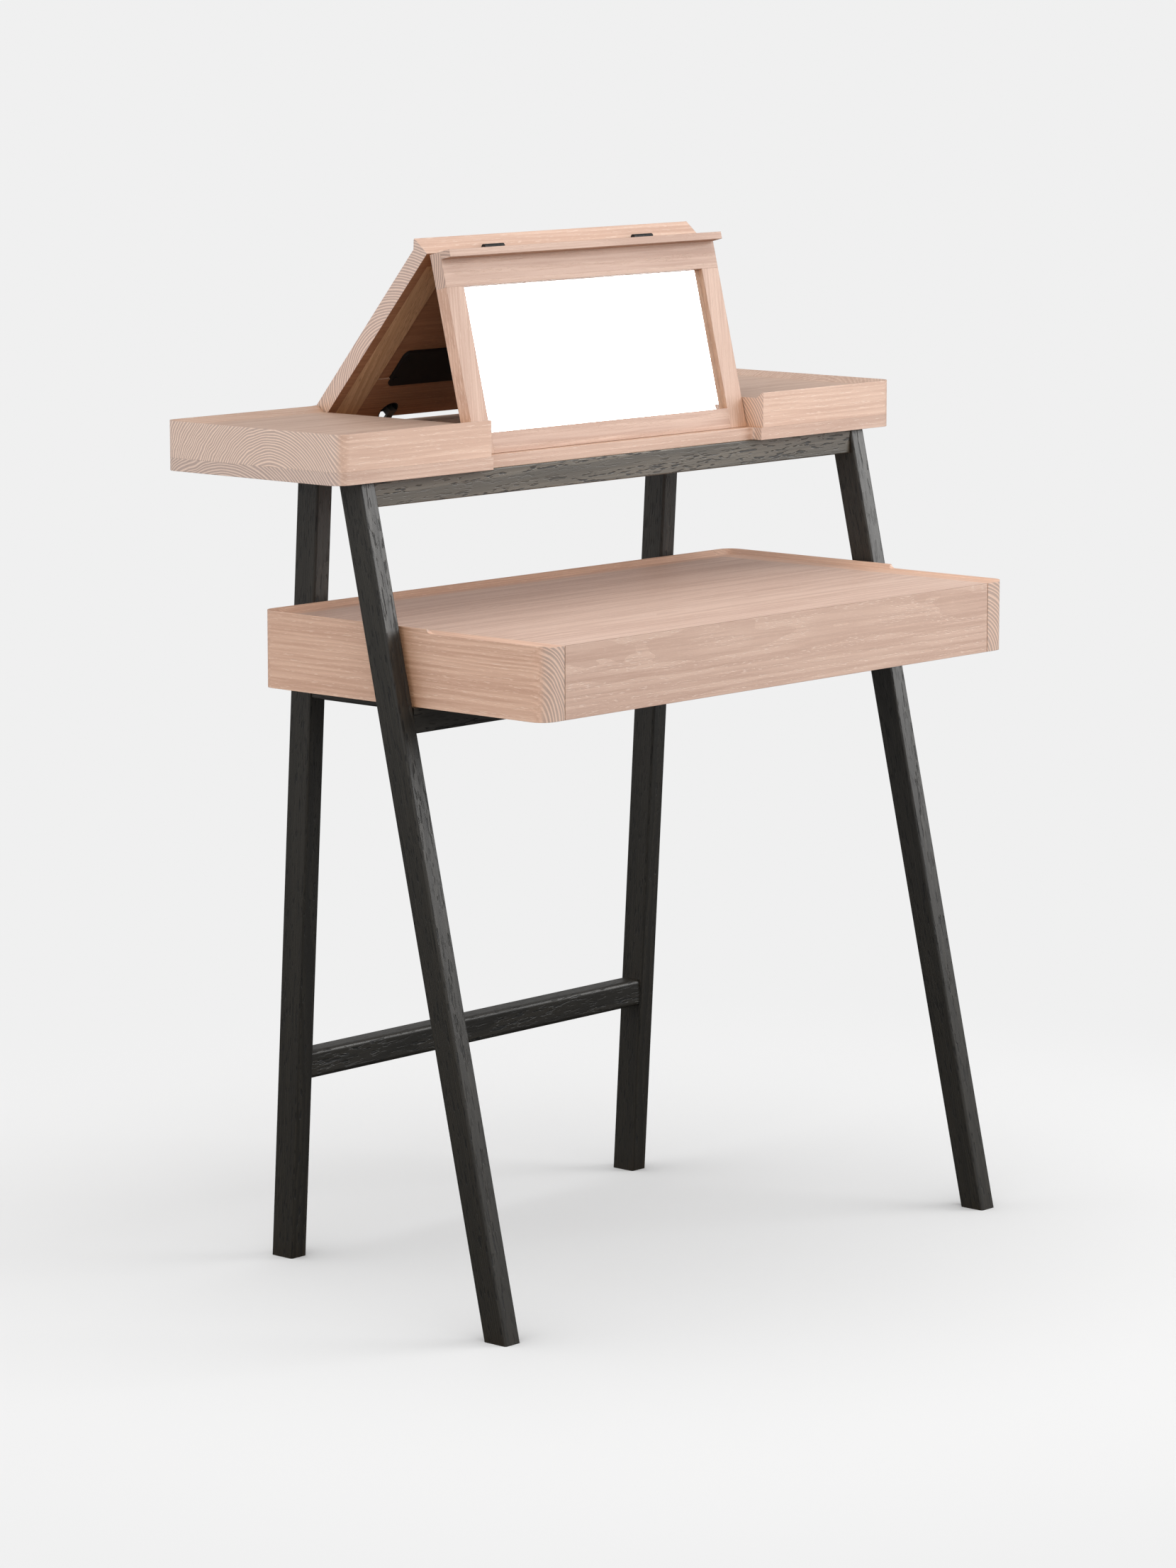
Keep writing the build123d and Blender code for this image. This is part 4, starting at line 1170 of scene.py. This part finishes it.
@dataclass
class Studio:
    """Pale floor that runs into a pale backdrop, soft lamps and the camera.

    Attributes:
        eye: where the camera stands.
        azimuth: which way it looks, 0 along +Y and 90 along -X, in degrees.
        elevation: how far it looks down, in degrees.
        focal: focal length in pixels of an image as high as image_height.
        image_height: height of the photograph in pixels.
        sensor: height of the camera's sensor in millimetres.
        view_end: how far the camera sees.
        backdrop: tone of the backdrop.
        sky_dim: light from the side away from sky_top.
        sky_gain: how much more comes from sky_top.
        sky_top: the direction that most light comes from.
        sky_band: how squarely a direction points to sky_top where the light begins and is full.
        floor_reach: radius of the floor.
        floor_corners: corners of its rim.
        floor_white: how pale the floor is near the desk.
        floor_roughness: of the floor.
        floor_bounce: how pale the floor is that lights the desk, as in a studio with dark corners.
        seen_fade: distances between which the floor fades into the backdrop's tone.
        bounce_fade: the same for the floor that lights the desk.
        lamps: the soft boxes.
        aim: the point that they are turned to.
    """

    eye: Point = (-4.5165, -4.0007, 1.4929)
    azimuth: float = -48.198
    elevation: float = 9.082
    focal: float = 7659.5
    image_height: float = 2212.0
    sensor: float = 36.0
    view_end: float = 100.0
    backdrop: float = 0.871
    sky_dim: float = 0.34
    sky_gain: float = 1.1
    sky_top: Point = (-0.65, -0.22, 0.75)
    sky_band: Band = (-0.5, 0.9)
    floor_reach: float = 14.0
    floor_corners: int = 96
    floor_white: float = 0.77
    floor_roughness: float = 0.9
    floor_bounce: float = 0.07
    seen_fade: Band = (0.7, 1.5)
    bounce_fade: Band = (2.2, 7.0)
    lamps: tuple[SoftBox, ...] = (
        SoftBox("key_box", (1.85, -1.55, 1.75), 1.5, 8.0),
        SoftBox("gloss_card", (2.3, -2.0, 1.7), 1.7, 24.0, gloss_only=True),
    )
    aim: Point = (0.0, -0.05, 0.95)

    def lay_floor(self) -> None:
        """A wide round floor whose shade fades into the backdrop's own tone."""
        mesh = bpy.data.meshes.new("studio_floor")
        work = bmesh.new()
        bmesh.ops.create_circle(work, cap_ends=True, radius=self.floor_reach, segments=self.floor_corners)
        work.to_mesh(mesh)
        work.free()
        floor = bpy.data.objects.new("studio_floor", mesh)
        bpy.context.scene.collection.objects.link(floor)
        mesh.materials.append(self.floor_paint())

    def floor_paint(self) -> bpy.types.Material:
        """Matt white near the desk and the backdrop's even tone further out.

        The camera sees one floor, and the desk reflects and is lit by a darker one.

        Returns:
            The floor's material.
        """
        material, graph, shader = new_material("studio floor")
        shader.inputs["Base Color"].default_value = grey(self.floor_white)
        shader.inputs["Roughness"].default_value = self.floor_roughness
        shader.inputs["Specular IOR Level"].default_value = 0.0
        place = graph.add("ShaderNodeTexCoord").outputs["Object"]
        distance = graph.vector("LENGTH", place)["Value"]
        even = graph.add("ShaderNodeEmission", Color=grey(self.backdrop)).outputs[0]
        dark = graph.add("ShaderNodeBsdfDiffuse", Color=grey(self.floor_bounce)).outputs[0]
        seen = self.mixed(graph, graph.ramp(distance, self.seen_fade), shader.outputs[0], even)
        unseen = self.mixed(graph, graph.ramp(distance, self.bounce_fade), dark, even)
        direct = graph.add("ShaderNodeLightPath").outputs["Is Camera Ray"]
        surface = self.mixed(graph, direct, unseen, seen)
        graph.feed(material.node_tree.nodes["Material Output"].inputs["Surface"], surface)
        return material

    @staticmethod
    def mixed(graph: Graph, factor: Socket, a: Socket, b: Socket) -> Socket:
        """Mixes two shaders.

        Args:
            graph: the material's nodes.
            factor: how much of b.
            a: first shader.
            b: second shader.

        Returns:
            The mixed shader's socket.
        """
        node = graph.add("ShaderNodeMixShader")
        for socket, value in zip(node.inputs, (factor, a, b)):
            graph.feed(socket, value)
        return node.outputs[0]

    def hang_sky(self) -> None:
        """Soft light, strongest from the upper left, with the backdrop's tone where it is seen."""
        world = bpy.data.worlds.new("studio")
        world.use_nodes = True
        bpy.context.scene.world = world
        graph = Graph(world.node_tree)
        way = graph.add("ShaderNodeTexCoord").outputs["Generated"]
        toward = graph.vector("DOT_PRODUCT", way, Vector(self.sky_top).normalized())["Value"]
        light = graph.math("MULTIPLY", graph.ramp(toward, self.sky_band), self.sky_gain)
        light = graph.math("ADD", light, self.sky_dim)
        seen = graph.add("ShaderNodeLightPath").outputs["Is Camera Ray"]
        picked = graph.add("ShaderNodeMix", {"data_type": "FLOAT"}, Factor=seen, A=light, B=self.backdrop)
        sky = world.node_tree.nodes["Background"]
        graph.feed(sky.inputs["Strength"], picked.outputs[0])
        sky.inputs["Color"].default_value = grey(1.0)

    def stand_camera(self) -> None:
        """The camera at the photograph's viewing angle."""
        data = bpy.data.cameras.new("camera")
        data.sensor_fit = "VERTICAL"
        data.sensor_height = self.sensor
        data.lens = self.focal / self.image_height * self.sensor
        data.clip_end = self.view_end
        camera = bpy.data.objects.new("camera", data)
        camera.location = self.eye
        camera.rotation_euler = (math.radians(90.0 - self.elevation), 0.0, math.radians(self.azimuth))
        bpy.context.scene.collection.objects.link(camera)
        bpy.context.scene.camera = camera

    def build(self) -> None:
        """Sets up floor, light and camera."""
        bpy.context.scene.view_settings.view_transform = "Standard"
        self.lay_floor()
        self.hang_sky()
        for lamp in self.lamps:
            lamp.hang(self.aim)
        self.stand_camera()


def main() -> None:
    """Builds the studio and finishes the desk, one sub-assembly after another."""
    logging.basicConfig(level=logging.INFO, format="%(name)s: %(message)s")
    Studio().build()
    effects = Effects()
    kinds = (LegFrame, DeskBox, Drawer, TrayShelf, Lid, Mirror)
    for number, kind in enumerate(kinds):
        kind(effects, first_seed=number * SEEDS_PER_ASSEMBLY).dress()


if __name__ == "__main__":
    main()
